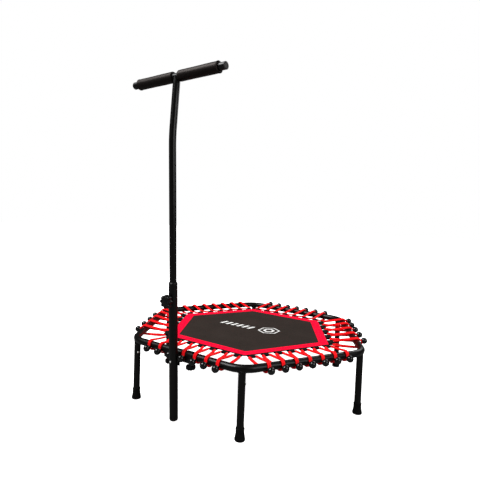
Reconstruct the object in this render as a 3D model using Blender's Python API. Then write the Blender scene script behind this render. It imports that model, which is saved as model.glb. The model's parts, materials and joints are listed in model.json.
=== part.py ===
"""Hexagonal mini trampoline with bungee suspension and a height-adjustable T handle.

Metres. The origin is on the floor at the middle of the whole object's box, +Z is up, and the
handle stands on the -Y side with its crossbar along X. The pieces are laid out about the middle
of the mat, and the last lines move them by RING_Y. The corners of the frame are at 0, 60, ...
300 degrees about the mat. Sides are numbered from the handle side, anticlockwise from above.

Names ending in _R are radii, in _Z heights above the floor, and in _S heights along the post.
A shape is a pair (points, faces).
"""

import math

import bpy
import numpy as np
from mathutils import Matrix, Vector

# ---- dimensions that several sections share ----------------------------------------------------
GAP = 0.0003  # air left between neighbouring pieces
RING_Y = 0.03047  # middle of the mat; the height knob stands out further than the far balls

# Frame ring: one bent tube, a hexagon with large corner bends
CORNER_R = 0.630  # centre to the sharp corner of the tube's centreline
BEND_R = 0.115  # bend radius of the centreline
BEND_STEPS = 6
TUBE_R = 0.0165
FRAME_Z = 0.2935
COS_30 = math.sqrt(3) / 2
APOTHEM = CORNER_R * COS_30  # centre to the middle of a side's centreline
BEND_CENTRE = (APOTHEM - BEND_R) / COS_30
LEG_DIST = BEND_CENTRE + BEND_R

# Handle post
LEAN = 0.045  # radians, outwards
POST_X = -0.0127
POST_OUT = 0.0310  # post's axis at the floor, outwards from the ring's centreline
HANDLE_WALL = 0.0015
POST_R = 0.0192
POST_BORE = POST_R - HANDLE_WALL
POST_TOP_S = 0.6065
STEM_R = 0.0152
POST_SCREW_Z = 0.2680
POST_SCREW_HOLE_R = 0.0029
KNOB_S = 0.5370

KNOB_LOBES = 8

# base colour, metallic, roughness
FINISHES = {
    "satin_black": ((0.018, 0.017, 0.017, 1), 0.6, 0.32),
    "rubber_black": ((0.012, 0.012, 0.012, 1), 0.0, 0.75),
    "plastic_black": ((0.012, 0.012, 0.013, 1), 0.0, 0.38),
    "foam_black": ((0.015, 0.015, 0.015, 1), 0.0, 0.92),
    "mat_black": ((0.045, 0.036, 0.032, 1), 0.0, 0.85),
    "border_red": ((0.80, 0.010, 0.045, 1), 0.0, 0.70),
    "webbing_black": ((0.014, 0.014, 0.015, 1), 0.0, 0.85),
    "cord_red": ((0.80, 0.012, 0.020, 1), 0.0, 0.65),
    "zinc": ((0.62, 0.62, 0.60, 1), 1.0, 0.35),
}
SHARP_ANGLE = math.radians(38)

# ---- places ------------------------------------------------------------------------------------
X90 = Matrix.Rotation(math.radians(90), 4, "X")  # turns +Z to -Y
Y90 = Matrix.Rotation(math.radians(90), 4, "Y")  # turns +Z to +X


def shift(x, y, z):
    return Matrix.Translation((x, y, z))


def corner_matrix(k):
    """From a leg's own axes (+X away from the centre) to the object's."""
    angle = math.radians(60 * k)
    place = shift(LEG_DIST * math.cos(angle), LEG_DIST * math.sin(angle), 0)
    return place @ Matrix.Rotation(angle, 4, "Z")


def side_matrix(k):
    """From a side's own left-handed axes (along, outwards, up) to the object's."""
    angle = math.radians(-90 + 60 * k)
    out_x, out_y = math.cos(angle), math.sin(angle)
    return Matrix(((-out_y, out_x, 0, 0), (out_x, out_y, 0, 0), (0, 0, 1, 0), (0, 0, 0, 1)))


CORNERS = [corner_matrix(k) for k in range(6)]

# The post's own axes: +Z up along the post, -Y outwards. A cross frame's +Z points outwards.
POST = shift(POST_X, -(APOTHEM + POST_OUT), 0) @ Matrix.Rotation(LEAN, 4, "X")
HANDLE_ORIGIN = POST @ Vector((0, 0, POST_TOP_S))
HEIGHT_KNOB = POST @ shift(0, 0, KNOB_S) @ X90
POST_SCREW_Y = -(APOTHEM + POST_OUT + LEAN * POST_SCREW_Z)
POST_SCREW = shift(POST_X, POST_SCREW_Y, POST_SCREW_Z) @ X90


# ---- objects -----------------------------------------------------------------------------------
def material(name, key):
    colour, metallic, roughness = FINISHES[key]
    mat = bpy.data.materials.new(name + "_" + key)
    mat.use_nodes = True
    shader = mat.node_tree.nodes["Principled BSDF"]
    shader.inputs["Base Color"].default_value = colour
    shader.inputs["Metallic"].default_value = metallic
    shader.inputs["Roughness"].default_value = roughness
    mat.diffuse_color = colour
    return mat


def solid(name, shape, key, origin=(0, 0, 0)):
    """A mesh object whose origin is put at a point without moving the piece."""
    points, faces = shape
    mesh = bpy.data.meshes.new(name)
    mesh.from_pydata([tuple(map(float, p)) for p in points], [], faces)
    mesh.update()
    for polygon in mesh.polygons:
        polygon.use_smooth = True
    mesh.set_sharp_from_angle(angle=SHARP_ANGLE)
    mesh.materials.append(material(name, key))
    mesh.transform(Matrix.Translation(-Vector(origin)))
    obj = bpy.data.objects.new(name, mesh)
    obj.location = origin
    bpy.context.scene.collection.objects.link(obj)
    return obj


def helper(name, shape, key):
    """A hidden object that is cut from a piece or united with it."""
    obj = solid(name, shape, key)
    obj.hide_render = True
    obj.display_type = "WIRE"
    return obj


def boolean(obj, operation, other):
    modifier = obj.modifiers.new(operation.title(), "BOOLEAN")
    modifier.operation = operation
    modifier.solver = "EXACT"
    modifier.object = other


# ---- shapes ------------------------------------------------------------------------------------
def join(shapes):
    points, faces = [], []
    for shape_points, shape_faces in shapes:
        start = len(points)
        points += shape_points
        faces += [tuple(i + start for i in face) for face in shape_faces]
    return points, faces


def moved(shape, matrix):
    return [tuple(matrix @ Vector(p)) for p in shape[0]], shape[1]


def on_side(shape, k):
    """Moves a shape from side k's axes; they are left-handed, so every face turns round."""
    points, faces = moved(shape, side_matrix(k))
    return points, [face[::-1] for face in faces]


def lathe(profile, sides):
    """Turns (radius, height) or (radius, height, lobe depth) points about Z.

    A first or last radius of 0 closes on the axis; otherwise the profile closes on itself. It
    runs anticlockwise with the axis on its left: out along the bottom, then up.
    """
    points, rows = [], []
    for entry in profile:
        radius, height, depth = (*entry, 0.0)[:3]
        if radius < 1e-9:
            rows.append([len(points)])
            points.append((0.0, 0.0, height))
            continue
        rows.append(list(range(len(points), len(points) + sides)))
        for k in range(sides):
            t = 2 * math.pi * k / sides
            lobed = radius - depth * (0.5 - 0.5 * math.cos(KNOB_LOBES * t)) ** 1.6
            points.append((lobed * math.cos(t), lobed * math.sin(t), height))
    closed = profile[0][0] > 1e-9
    faces = []
    for i in range(len(rows) if closed else len(rows) - 1):
        low, high = rows[i], rows[(i + 1) % len(rows)]
        for k in range(sides):
            m = (k + 1) % sides
            if len(low) == 1:
                faces.append((low[0], high[m], high[k]))
            elif len(high) == 1:
                faces.append((low[k], low[m], high[0]))
            else:
                faces.append((low[k], low[m], high[m], high[k]))
    return points, faces


def pipe(radius, bore, z0, z1, sides):
    """A tube with its outer edges chamfered."""
    rim = 0.0006
    profile = [(bore, z1), (bore, z0), (radius - rim, z0), (radius, z0 + rim),
               (radius, z1 - rim), (radius - rim, z1)]
    return lathe(profile, sides)


def rod(radius, z0, z1, sides):
    return lathe([(0, z0), (radius, z0), (radius, z1), (0, z1)], sides)


def box(x0, x1, y0, y1, z0, z1):
    points = [(x, y, z) for x in (x0, x1) for y in (y0, y1) for z in (z0, z1)]
    faces = [(0, 1, 3, 2), (4, 6, 7, 5), (0, 4, 5, 1), (2, 3, 7, 6), (0, 2, 6, 4), (1, 5, 7, 3)]
    return points, faces


def extrusion(low, high):
    """Joins two matching outlines, anticlockwise seen from the second one."""
    n = len(low)
    faces = [tuple(range(n - 1, -1, -1)), tuple(range(n, 2 * n))]
    faces += [(k, (k + 1) % n, n + (k + 1) % n, n + k) for k in range(n)]
    return low + high, faces


def hexagon_row(apothem, z):
    radius = apothem / math.cos(math.pi / 6)
    angles = [math.radians(60 * k) for k in range(6)]
    return [(radius * math.cos(t), radius * math.sin(t), z) for t in angles]


def hexagon_plate(apothem, z0, z1):
    return extrusion(hexagon_row(apothem, z0), hexagon_row(apothem, z1))


def hexagon_ring(inner, outer, z0, z1):
    """A flat ring; its sizes are centre to the middle of a side."""
    points = [p for apothem in (outer, inner) for z in (z0, z1) for p in hexagon_row(apothem, z)]
    faces = []
    for k in range(6):
        m = (k + 1) % 6
        faces += [(k, m, 6 + m, 6 + k), (6 + k, 6 + m, 18 + m, 18 + k),
                  (18 + k, 18 + m, 12 + m, 12 + k), (12 + k, 12 + m, m, k)]
    return points, faces


def unit_rows(vectors):
    return vectors / np.linalg.norm(vectors, axis=1)[:, None]


def path_directions(path, closed):
    """Unit directions ahead of, behind and through each point of a path."""
    ahead = np.roll(path, -1, 0) - path
    if not closed:
        ahead[-1] = ahead[-2]
    behind = np.roll(ahead, 1, 0)
    if not closed:
        behind[0] = ahead[0]
    ahead, behind = unit_rows(ahead), unit_rows(behind)
    return ahead, behind, unit_rows(ahead + behind)


def path_normals(tangents, closed):
    """Normals carried along a path, and the twist they gather round a closed one."""
    normal = np.cross(tangents[0], (0, 0, 1.0))
    if np.linalg.norm(normal) < 0.1:
        normal = np.cross(tangents[0], (0, 1.0, 0))
    normals = [normal / np.linalg.norm(normal)]
    for i in list(range(1, len(tangents))) + ([0] if closed else []):
        normal = normals[-1] - tangents[i] * np.dot(normals[-1], tangents[i])
        normals.append(normal / np.linalg.norm(normal))
    if not closed:
        return normals, 0.0
    last = normals.pop()
    other = np.cross(tangents[0], normals[0])
    return normals, math.atan2(np.dot(last, other), np.dot(last, normals[0]))


def sweep(path, radius, sides, closed, bore=0.0):
    """A round bar, or a pipe when it has a bore, along a path.

    The section's twist is spread along a closed path, and the section is stretched across each
    bend so that the bar keeps its thickness there.
    """
    path = np.array(path, float)
    n = len(path)
    ahead, behind, tangents = path_directions(path, closed)
    stretch = 1 / np.clip((tangents * ahead).sum(1), 0.6, 1)
    normals, twist = path_normals(tangents, closed)
    layers = [radius, bore] if bore else [radius]
    points = []
    for layer_radius in layers:
        for i in range(n):
            normal, binormal = normals[i], np.cross(tangents[i], normals[i])
            bend = ahead[i] - behind[i]
            size = np.linalg.norm(bend)
            bend = bend / size if size > 1e-6 else np.zeros(3)
            for k in range(sides):
                t = 2 * math.pi * k / sides - twist * i / n
                offset = layer_radius * (normal * math.cos(t) + binormal * math.sin(t))
                points.append(path[i] + offset + bend * np.dot(offset, bend) * (stretch[i] - 1))
    faces = []
    for layer in range(len(layers)):
        start = layer * n * sides
        for i in range(n if closed else n - 1):
            this, following = start + i * sides, start + (i + 1) % n * sides
            for k in range(sides):
                m = (k + 1) % sides
                face = (this + k, this + m, following + m, following + k)
                faces.append(face[::-1] if layer else face)
    if closed:
        return points, faces
    far = (n - 1) * sides
    if bore:
        inner = n * sides
        for k in range(sides):
            m = (k + 1) % sides
            faces.append((k, inner + k, inner + m, m))
            faces.append((far + k, far + m, inner + far + m, inner + far + k))
    else:
        faces.append(tuple(range(sides - 1, -1, -1)))
        faces.append(tuple(range(far, far + sides)))
    return points, faces


def star_knob(radius, depth, low, high, neck_r, neck_length, bore, bore_end):
    """A lobed grip from low to high, with a neck below it and a blind bore for its screw."""
    thick = high - low
    neck_end = low - neck_length
    profile = [  # radius, height, lobe depth
        (0, bore_end, 0), (bore, bore_end, 0), (bore, neck_end, 0),
        (neck_r - 0.001, neck_end, 0), (neck_r, neck_end + 0.001, 0), (neck_r, low - 0.0005, 0),
        (radius * 0.80, low, depth * 0.7), (radius - 0.0012, low + 0.10 * thick, depth),
        (radius, low + 0.30 * thick, depth), (radius, low + 0.68 * thick, depth),
        (radius - 0.0014, low + 0.88 * thick, depth), (radius * 0.80, high, depth * 0.7),
        (radius * 0.46, high + 0.0008, 0), (0, high + 0.0008, 0),
    ]
    return lathe(profile, sides=32)


# ---- frame ring and legs -----------------------------------------------------------------------
LEG_R, LEG_BORE = 0.0155, 0.0138
SPIGOT_R, SPIGOT_DROP, SPIGOT_CHAMFER = 0.0134, 0.088, 0.001
SPIGOT_TOP_Z = FRAME_Z - 0.004  # inside the ring's tube
LEG_SCREW_Z = 0.2315
LEG_HOLE_R, LEG_HOLE_FROM, LEG_HOLE_TO = 0.0025, 0.0060, 0.0240  # from the leg's axis
FOOT_BASE_R, FOOT_SLEEVE_R, FOOT_H, FOOT_FLOOR = 0.0222, 0.0180, 0.052, 0.006

FOOT_PROFILE = [  # radius, height
    (0, 0), (FOOT_BASE_R - 0.0014, 0), (FOOT_BASE_R, 0.0016), (FOOT_BASE_R - 0.0004, 0.0110),
    (0.0196, 0.0245), (FOOT_SLEEVE_R + 0.0003, 0.0272), (FOOT_SLEEVE_R, FOOT_H - 0.0012),
    (FOOT_SLEEVE_R - 0.0011, FOOT_H), (LEG_R + GAP, FOOT_H), (LEG_R + GAP, FOOT_FLOOR),
    (0, FOOT_FLOOR),
]
LEG_SCREW_PROFILE = [  # radius, distance from the leg's axis
    (0, 0.0072), (0.0020, 0.0072), (0.0020, LEG_R + GAP), (0.0040, LEG_R + GAP),
    (0.0040, 0.0164), (0.0024, 0.0178), (0, 0.0181),
]


def ring_path():
    """The centreline of the frame ring."""
    path = []
    for k in range(6):
        middle = math.radians(60 * k)
        for i in range(BEND_STEPS + 1):
            t = middle + math.radians(-30 + 60 * i / BEND_STEPS)
            path.append((BEND_CENTRE * math.cos(middle) + BEND_R * math.cos(t),
                         BEND_CENTRE * math.sin(middle) + BEND_R * math.sin(t), FRAME_Z))
    return path


def leg_screw_matrix(place):
    """The screw stands square to the radius, along the leg's own +Y."""
    return place @ shift(0, 0, LEG_SCREW_Z) @ X90.inverted()


def build_frame():
    """The ring with its six spigots. Returns the helpers that also cut the legs."""
    path = ring_path()
    ring = solid("frame_ring", sweep(path, TUBE_R, sides=16, closed=True), "satin_black")
    outside = sweep(path, TUBE_R + GAP, sides=16, closed=True)
    ring_cutter = helper("cut_ring", outside, "satin_black")

    bottom, rim = FRAME_Z - SPIGOT_DROP, SPIGOT_CHAMFER
    spigot = lathe([(0, bottom), (SPIGOT_R - rim, bottom), (SPIGOT_R, bottom + rim),
                    (SPIGOT_R, SPIGOT_TOP_Z - rim), (SPIGOT_R - rim, SPIGOT_TOP_Z),
                    (0, SPIGOT_TOP_Z)], sides=16)
    hole = rod(LEG_HOLE_R, LEG_HOLE_FROM, LEG_HOLE_TO, sides=8)
    spigots = join(moved(spigot, place) for place in CORNERS)
    holes = join(moved(hole, leg_screw_matrix(place)) for place in CORNERS)
    spigot_helper = helper("add_spigots", spigots, "satin_black")
    hole_cutter = helper("cut_screw_holes", holes, "zinc")
    boolean(ring, "UNION", spigot_helper)
    boolean(ring, "DIFFERENCE", hole_cutter)
    return ring_cutter, hole_cutter


def build_leg(number, place, cutters):
    """One leg, coped to the ring, with its foot and screw."""
    bottom = FOOT_FLOOR + GAP
    tube = lathe([(LEG_BORE, FRAME_Z), (LEG_BORE, bottom), (LEG_R, bottom), (LEG_R, FRAME_Z)],
                 sides=18)
    leg = solid(f"leg_{number}", moved(tube, place), "satin_black")
    for cutter in cutters:
        boolean(leg, "DIFFERENCE", cutter)
    solid(f"foot_{number}", moved(lathe(FOOT_PROFILE, sides=16), place), "rubber_black")
    screw = moved(lathe(LEG_SCREW_PROFILE, sides=10), leg_screw_matrix(place))
    solid(f"leg_screw_{number}", screw, "zinc")


# ---- mat, its edge band and the webbing sleeves that hold the cords ----------------------------
MAT_APOTHEM = 0.3950
BORDER_IN, BORDER_OUT = 0.3514, 0.3962
WEB_IN, WEB_OUT = 0.3660, 0.3993
WEB_Z0, WEB_Z1 = 0.2891, 0.2935
MAT_Z0, MAT_Z1 = WEB_Z1 + GAP, 0.2952
BORDER_Z0, BORDER_Z1 = MAT_Z1 + GAP, 0.2985
SLEEVE_OUT, SLEEVE_Z = 0.4225, 0.2945  # axis of the sleeves, outwards and up
SLEEVE_HALF, SLEEVE_HOLE_HALF = 0.0054, 0.0042  # half widths of the square section
SLEEVE_LENGTHS = (0.0270, 0.0270, 0.0560, 0.0270, 0.0270, 0.0560)  # side by side
TONGUE_IN, TONGUE_OUT = 0.3985, SLEEVE_OUT - 0.0048  # tongues join the sleeves to the webbing


def sleeve_places(k):
    """Where the cords' sleeves are along side k."""
    count = len(BALL_PLACES[k])
    pitch = 0.0680 if count == 7 else 0.0950
    return [(i - (count - 1) / 2) * pitch for i in range(count)]


def sleeve(x0, x1):
    """A square tube along a side, in that side's axes."""
    points = [(x, SLEEVE_OUT + out * half, SLEEVE_Z + up * half)
              for half in (SLEEVE_HALF, SLEEVE_HOLE_HALF) for x in (x0, x1)
              for out, up in ((-1, -1), (1, -1), (1, 1), (-1, 1))]
    faces = []
    for j in range(4):
        m = (j + 1) % 4
        faces += [(j, m, 4 + m, 4 + j), (8 + m, 8 + j, 12 + j, 12 + m),
                  (m, j, 8 + j, 8 + m), (4 + j, 4 + m, 12 + m, 12 + j)]
    return points, faces


def build_mat():
    solid("mat_fabric", hexagon_plate(MAT_APOTHEM, MAT_Z0, MAT_Z1), "mat_black")
    border = hexagon_ring(BORDER_IN, BORDER_OUT, BORDER_Z0, BORDER_Z1)
    solid("mat_border", border, "border_red")
    webbing = solid("mat_webbing", hexagon_ring(WEB_IN, WEB_OUT, WEB_Z0, WEB_Z1), "webbing_black")
    sleeves, tongues = [], []
    for k in range(6):
        half = SLEEVE_LENGTHS[k] / 2
        for x in sleeve_places(k):
            sleeves.append(on_side(sleeve(x - half, x + half), k))
            tongue = box(x - half, x + half, TONGUE_IN, TONGUE_OUT, WEB_Z0, WEB_Z1)
            tongues.append(on_side(tongue, k))
    boolean(webbing, "UNION", helper("add_sleeves", join(sleeves), "webbing_black"))
    boolean(webbing, "UNION", helper("add_tongues", join(tongues), "webbing_black"))


# ---- bungees -----------------------------------------------------------------------------------
CORD_R = 0.0034
WRAP_R = 0.0214  # cord centre to tube centre, where it goes round the tube
WRAP_END = 98  # degrees above and below the horizontal where the cord meets and leaves the tube
BALL_CLEAR = 28  # degrees round the tube from the ball to the cord's nearest wrap points
CORD_SPREAD = 0.0040  # each strand on the tube, sideways from the ball
CORD_PAST, CORD_PAST_OUT = 0.0058, 0.0040  # the cord's turn, past the sleeve's end and outwards
CORD_TUCK = 0.0032  # from that turn back along the sleeve
BALL_R = 0.0160
BALL_DIST = 0.0360  # ball centre to tube centre
LINK_R, LINK_PAST, LINK_OUT = 0.0017, 0.0050, 0.0030  # thin cord between neighbouring sleeves

SEVEN = [(i - 3) * 0.0672 for i in range(7)]
# Where each side's balls are along it: the handle side leaves room for the post, and two sides
# carry five.
BALL_PLACES = (
    [-0.1885, -0.1200, -0.0480, 0.0220, 0.0860, 0.1470, 0.2090],
    SEVEN,
    [-0.165, -0.060, 0.040, 0.135, 0.230],
    SEVEN,
    SEVEN,
    [-0.240, -0.170, -0.065, 0.041, 0.143],
)
# The end of its sleeve by which a cord leaves to pass under the tube, side by side
UNDER_SIDE = (1, -1, -1, -1, 1, 1)
# Angle of the balls round the tube, in degrees above the horizontal, side by side
BALL_ANGLES = (-16.0, -8.0, 20.0, 22.0, -20.0, 2.0)
LOW_BALL_ANGLE = -40.0  # the first ball of the last side hangs lower than its neighbours


def around(x, angle, distance):
    """A point at an angle round the tube, in a side's axes."""
    t = math.radians(angle)
    return x, APOTHEM + distance * math.cos(t), FRAME_Z + distance * math.sin(t)


def cord_path(sleeve_x, ball_x, angle, sign, sleeve_length):
    """Through the sleeve, out over the tube to the ball, and back under at the side sign says."""
    turn = sleeve_length / 2 + CORD_PAST
    tuck = turn - CORD_TUCK
    turn_out = SLEEVE_OUT + CORD_PAST_OUT
    over_steps, under_steps = (4, 3) if angle < 15 else (3, 4)
    path = [(sleeve_x - sign * tuck, SLEEVE_OUT, SLEEVE_Z),
            (sleeve_x - sign * turn, turn_out, SLEEVE_Z)]
    path += [around(ball_x - sign * CORD_SPREAD, t, WRAP_R)
             for t in np.linspace(WRAP_END, angle + BALL_CLEAR, over_steps)]
    path.append(around(ball_x, angle, BALL_DIST))
    path += [around(ball_x + sign * CORD_SPREAD, t, WRAP_R)
             for t in np.linspace(angle - BALL_CLEAR, -WRAP_END, under_steps)]
    path += [(sleeve_x + sign * turn, turn_out, SLEEVE_Z),
             (sleeve_x + sign * tuck, SLEEVE_OUT, SLEEVE_Z)]
    return path


def ball_shape():
    angles = np.linspace(0, math.pi, 6)[1:-1]
    arc = [(BALL_R * math.sin(t), -BALL_R * math.cos(t)) for t in angles]
    return lathe([(0, -BALL_R)] + arc + [(0, BALL_R)], sides=8)


def build_bungees(k):
    """Side k's cord loops, their balls and the links between the sleeves."""
    matrix = side_matrix(k)
    sleeve_row = sleeve_places(k)
    cords, balls, links = [], [], []
    for i, (sleeve_x, ball_x) in enumerate(zip(sleeve_row, BALL_PLACES[k])):
        angle = LOW_BALL_ANGLE if (k, i) == (5, 0) else BALL_ANGLES[k]
        loop = cord_path(sleeve_x, ball_x, angle, UNDER_SIDE[k], SLEEVE_LENGTHS[k])
        path = [matrix @ Vector(p) for p in loop]
        cords.append(sweep(path, CORD_R, sides=5, closed=True))
        centre = matrix @ Vector(around(ball_x, angle, BALL_DIST))
        balls.append(moved(ball_shape(), Matrix.Translation(centre)))
        if i:
            past = SLEEVE_LENGTHS[k] / 2 + LINK_PAST
            ends = [matrix @ Vector((x, SLEEVE_OUT + LINK_OUT, SLEEVE_Z))
                    for x in (sleeve_row[i - 1] + past, sleeve_x - past)]
            links.append(sweep(ends, LINK_R, sides=4, closed=False))
    bungees = solid(f"bungees_side_{k + 1}", join(cords), "cord_red")
    boolean(bungees, "UNION", helper(f"add_balls_{k + 1}", join(balls), "plastic_black"))
    boolean(bungees, "UNION", helper(f"add_links_{k + 1}", join(links), "cord_red"))


# ---- post --------------------------------------------------------------------------------------
POST_BOTTOM_S = 0.0108
KNOB_HOLE_R = 0.0044
HEIGHT_SCREW_R, HEIGHT_SCREW_END = 0.0040, 0.0440
KNOB_R, KNOB_LOBE_DEPTH, KNOB_THICK, KNOB_MID = 0.0295, 0.0062, 0.0220, 0.0420

END_PLUG_PROFILE = [  # radius, height along the post
    (0, 0.0011), (0.0120, 0.0011), (0.0165, 0.0026), (0.0186, 0.0052), (POST_R, 0.0080),
    (POST_R, 0.0105), (POST_BORE - GAP, 0.0105), (POST_BORE - GAP, 0.0300), (0.0160, 0.0320),
    (0, 0.0320),
]
COLLAR_PROFILE = [  # radius, height along the post
    (STEM_R + GAP, 0.6130), (STEM_R + GAP, 0.5640), (POST_BORE - GAP, 0.5640),
    (POST_BORE - GAP, POST_TOP_S + GAP), (POST_R, POST_TOP_S + GAP), (POST_R, 0.6100),
    (0.0176, 0.6130),
]
HEIGHT_SCREW_PROFILE = [  # radius, distance from the post's axis
    (0, STEM_R + GAP), (0.0030, STEM_R + GAP), (HEIGHT_SCREW_R, 0.0165),
    (HEIGHT_SCREW_R, HEIGHT_SCREW_END), (0, HEIGHT_SCREW_END),
]


def build_post():
    tube = pipe(POST_R, POST_BORE, POST_BOTTOM_S, POST_TOP_S, sides=24)
    post = solid("handle_post", moved(tube, POST), "satin_black")
    hole = moved(rod(POST_SCREW_HOLE_R, -0.030, 0.030, sides=14), POST_SCREW)
    boolean(post, "DIFFERENCE", helper("cut_post_screw", hole, "zinc"))
    hole = moved(rod(KNOB_HOLE_R, 0.010, 0.060, sides=18), HEIGHT_KNOB)
    boolean(post, "DIFFERENCE", helper("cut_knob_hole", hole, "zinc"))
    solid("post_end_plug", moved(lathe(END_PLUG_PROFILE, sides=20), POST), "rubber_black")
    solid("post_collar", moved(lathe(COLLAR_PROFILE, sides=20), POST), "plastic_black")


def build_height_knob():
    """The nut on the outer face of the post, with its screw and star knob."""
    nut_shape = pipe(0.0092, KNOB_HOLE_R, 0.0140, 0.0242, sides=20)
    nut = solid("height_nut", moved(nut_shape, HEIGHT_KNOB), "satin_black")
    body = moved(rod(POST_R + GAP, KNOB_S - 0.05, KNOB_S + 0.05, sides=32), POST)
    boolean(nut, "DIFFERENCE", helper("cut_post_body", body, "satin_black"))

    origin = HEIGHT_KNOB @ Vector((0, 0, KNOB_MID))
    screw = moved(lathe(HEIGHT_SCREW_PROFILE, sides=16), HEIGHT_KNOB)
    solid("height_screw", screw, "zinc", origin)
    knob = star_knob(KNOB_R, KNOB_LOBE_DEPTH, KNOB_MID - KNOB_THICK / 2,
                     KNOB_MID + KNOB_THICK / 2, neck_r=0.0125, neck_length=0.0060,
                     bore=HEIGHT_SCREW_R + GAP, bore_end=HEIGHT_SCREW_END + 0.0006)
    solid("height_knob", moved(knob, HEIGHT_KNOB), "plastic_black", origin)


# ---- handle: stem, crossbar, grips, caps -------------------------------------------------------
STEM_END_S, STEM_BEND_S, STEM_TOP_S = 0.500, 1.2211, 1.4673
STEM_SET_BACK = 0.0279  # the stem's top, towards the mat from the post's axis
BEND_REACH = 0.045  # from the start of the stem's bend to its sharp corner
BAR_R = 0.0150
BAR_BORE = BAR_R - HANDLE_WALL
BAR_HALF = 0.2535  # with the end caps
CAP_HEAD = 0.0040
GRIP_R, GRIP_IN, GRIP_OUT = 0.0228, 0.0162, 0.2215
# The crossbar's axes: +Z along the object's +X
BAR = Matrix.Translation(POST @ Vector((0, STEM_SET_BACK, STEM_TOP_S))) @ Y90

GRIP_PROFILE = [  # radius, distance from the middle of the bar
    (BAR_R + GAP, GRIP_OUT), (BAR_R + GAP, GRIP_IN), (GRIP_R - 0.0040, GRIP_IN),
    (GRIP_R - 0.0010, GRIP_IN + 0.0014), (GRIP_R, GRIP_IN + 0.0045),
    (GRIP_R, GRIP_OUT - 0.0045), (GRIP_R - 0.0010, GRIP_OUT - 0.0014),
    (GRIP_R - 0.0040, GRIP_OUT),
]
BAR_CAP_PROFILE = [  # radius, distance from the middle of the bar
    (0, BAR_HALF - 0.0200), (BAR_BORE - 0.0010, BAR_HALF - 0.0200),
    (BAR_BORE - GAP, BAR_HALF - 0.0190), (BAR_BORE - GAP, BAR_HALF - CAP_HEAD),
    (BAR_R, BAR_HALF - CAP_HEAD), (BAR_R + 0.0003, BAR_HALF - 0.0032),
    (BAR_R - 0.0004, BAR_HALF - 0.0008), (BAR_R - 0.0022, BAR_HALF), (0, BAR_HALF),
]


def stem_path():
    bend = math.atan2(STEM_SET_BACK, STEM_TOP_S - STEM_BEND_S)
    radius = BEND_REACH / math.tan(bend / 2)
    path = [(0, 0, STEM_END_S)]
    for i in range(5):
        t = bend * i / 4
        path.append((0, radius * (1 - math.cos(t)),
                     STEM_BEND_S - BEND_REACH + radius * math.sin(t)))
    path.append((0, STEM_SET_BACK, STEM_TOP_S))
    return path


def build_handle():
    tube = sweep(stem_path(), STEM_R, sides=20, closed=False, bore=STEM_R - HANDLE_WALL)
    stem = solid("handle_stem", moved(tube, POST), "satin_black", HANDLE_ORIGIN)
    bar_space = moved(rod(BAR_R + GAP, -0.03, 0.03, sides=28), BAR)
    boolean(stem, "DIFFERENCE", helper("cut_bar", bar_space, "satin_black"))
    tube_half = BAR_HALF - CAP_HEAD - GAP
    bar = moved(pipe(BAR_R, BAR_BORE, -tube_half, tube_half, sides=20), BAR)
    solid("handle_crossbar", bar, "satin_black", HANDLE_ORIGIN)
    for name, place in (("left", BAR @ Matrix.Rotation(math.pi, 4, "X")), ("right", BAR)):
        grip = moved(lathe(GRIP_PROFILE, sides=20), place)
        solid(f"grip_{name}", grip, "foam_black", HANDLE_ORIGIN)
        cap = moved(lathe(BAR_CAP_PROFILE, sides=16), place)
        solid(f"bar_cap_{name}", cap, "plastic_black", HANDLE_ORIGIN)


# ---- bracket, and the clamps that hold it on the frame -----------------------------------------
CLAMP_OFFSET = 0.062  # from the post, each way along X
CLAMP_X = (POST_X - CLAMP_OFFSET, POST_X + CLAMP_OFFSET)
CLAMP_W = 0.037
HOOK_R = 0.0190
FLANGE_Z0, FLANGE_Z1 = FRAME_Z - 0.0300, FRAME_Z - 0.0268
FLANGE_OUT, FLANGE_IN = 0.0190, 0.0195  # each way from the ring's centreline
BLOCK_HALF_W = 0.0165
BLOCK_OUT, BLOCK_IN = 0.0222, 0.0150  # block's outer and inner faces, out from the centreline
BLOCK_Z0, BLOCK_Z1 = FRAME_Z - 0.0500, FRAME_Z - 0.0172
POST_SCREW_DEPTH = 0.0035  # into the block
STUD_R = 0.0035
STUD_TOP_Z = FRAME_Z - TUBE_R - 0.0005
CLAMP_KNOB_R, CLAMP_LOBE_DEPTH = 0.0215, 0.0046
CLAMP_KNOB_TOP_Z, CLAMP_KNOB_BOTTOM_Z = FRAME_Z - 0.0415, FRAME_Z - 0.0605


def build_bracket():
    flange = box(CLAMP_X[0] - CLAMP_W / 2, CLAMP_X[1] + CLAMP_W / 2,
                 -(APOTHEM + FLANGE_OUT), -(APOTHEM - FLANGE_IN), FLANGE_Z0, FLANGE_Z1)
    bracket = solid("post_bracket", flange, "satin_black")
    block = box(POST_X - BLOCK_HALF_W, POST_X + BLOCK_HALF_W,
                -(APOTHEM + BLOCK_OUT), -(APOTHEM + BLOCK_IN), BLOCK_Z0, BLOCK_Z1)
    boolean(bracket, "UNION", helper("add_block", block, "satin_black"))
    block_face = shift(POST_X, -(APOTHEM + BLOCK_OUT), POST_SCREW_Z) @ X90
    hole = moved(rod(POST_SCREW_HOLE_R, -0.0045, 0.0300, sides=14), block_face)
    boolean(bracket, "DIFFERENCE", helper("cut_block_hole", hole, "zinc"))
    hole = rod(STUD_R + GAP, FLANGE_Z0 - 0.01, FLANGE_Z1 + 0.01, sides=18)
    holes = join(moved(hole, shift(x, -APOTHEM, 0)) for x in CLAMP_X)
    boolean(bracket, "DIFFERENCE", helper("cut_stud_holes", holes, "zinc"))


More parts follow.
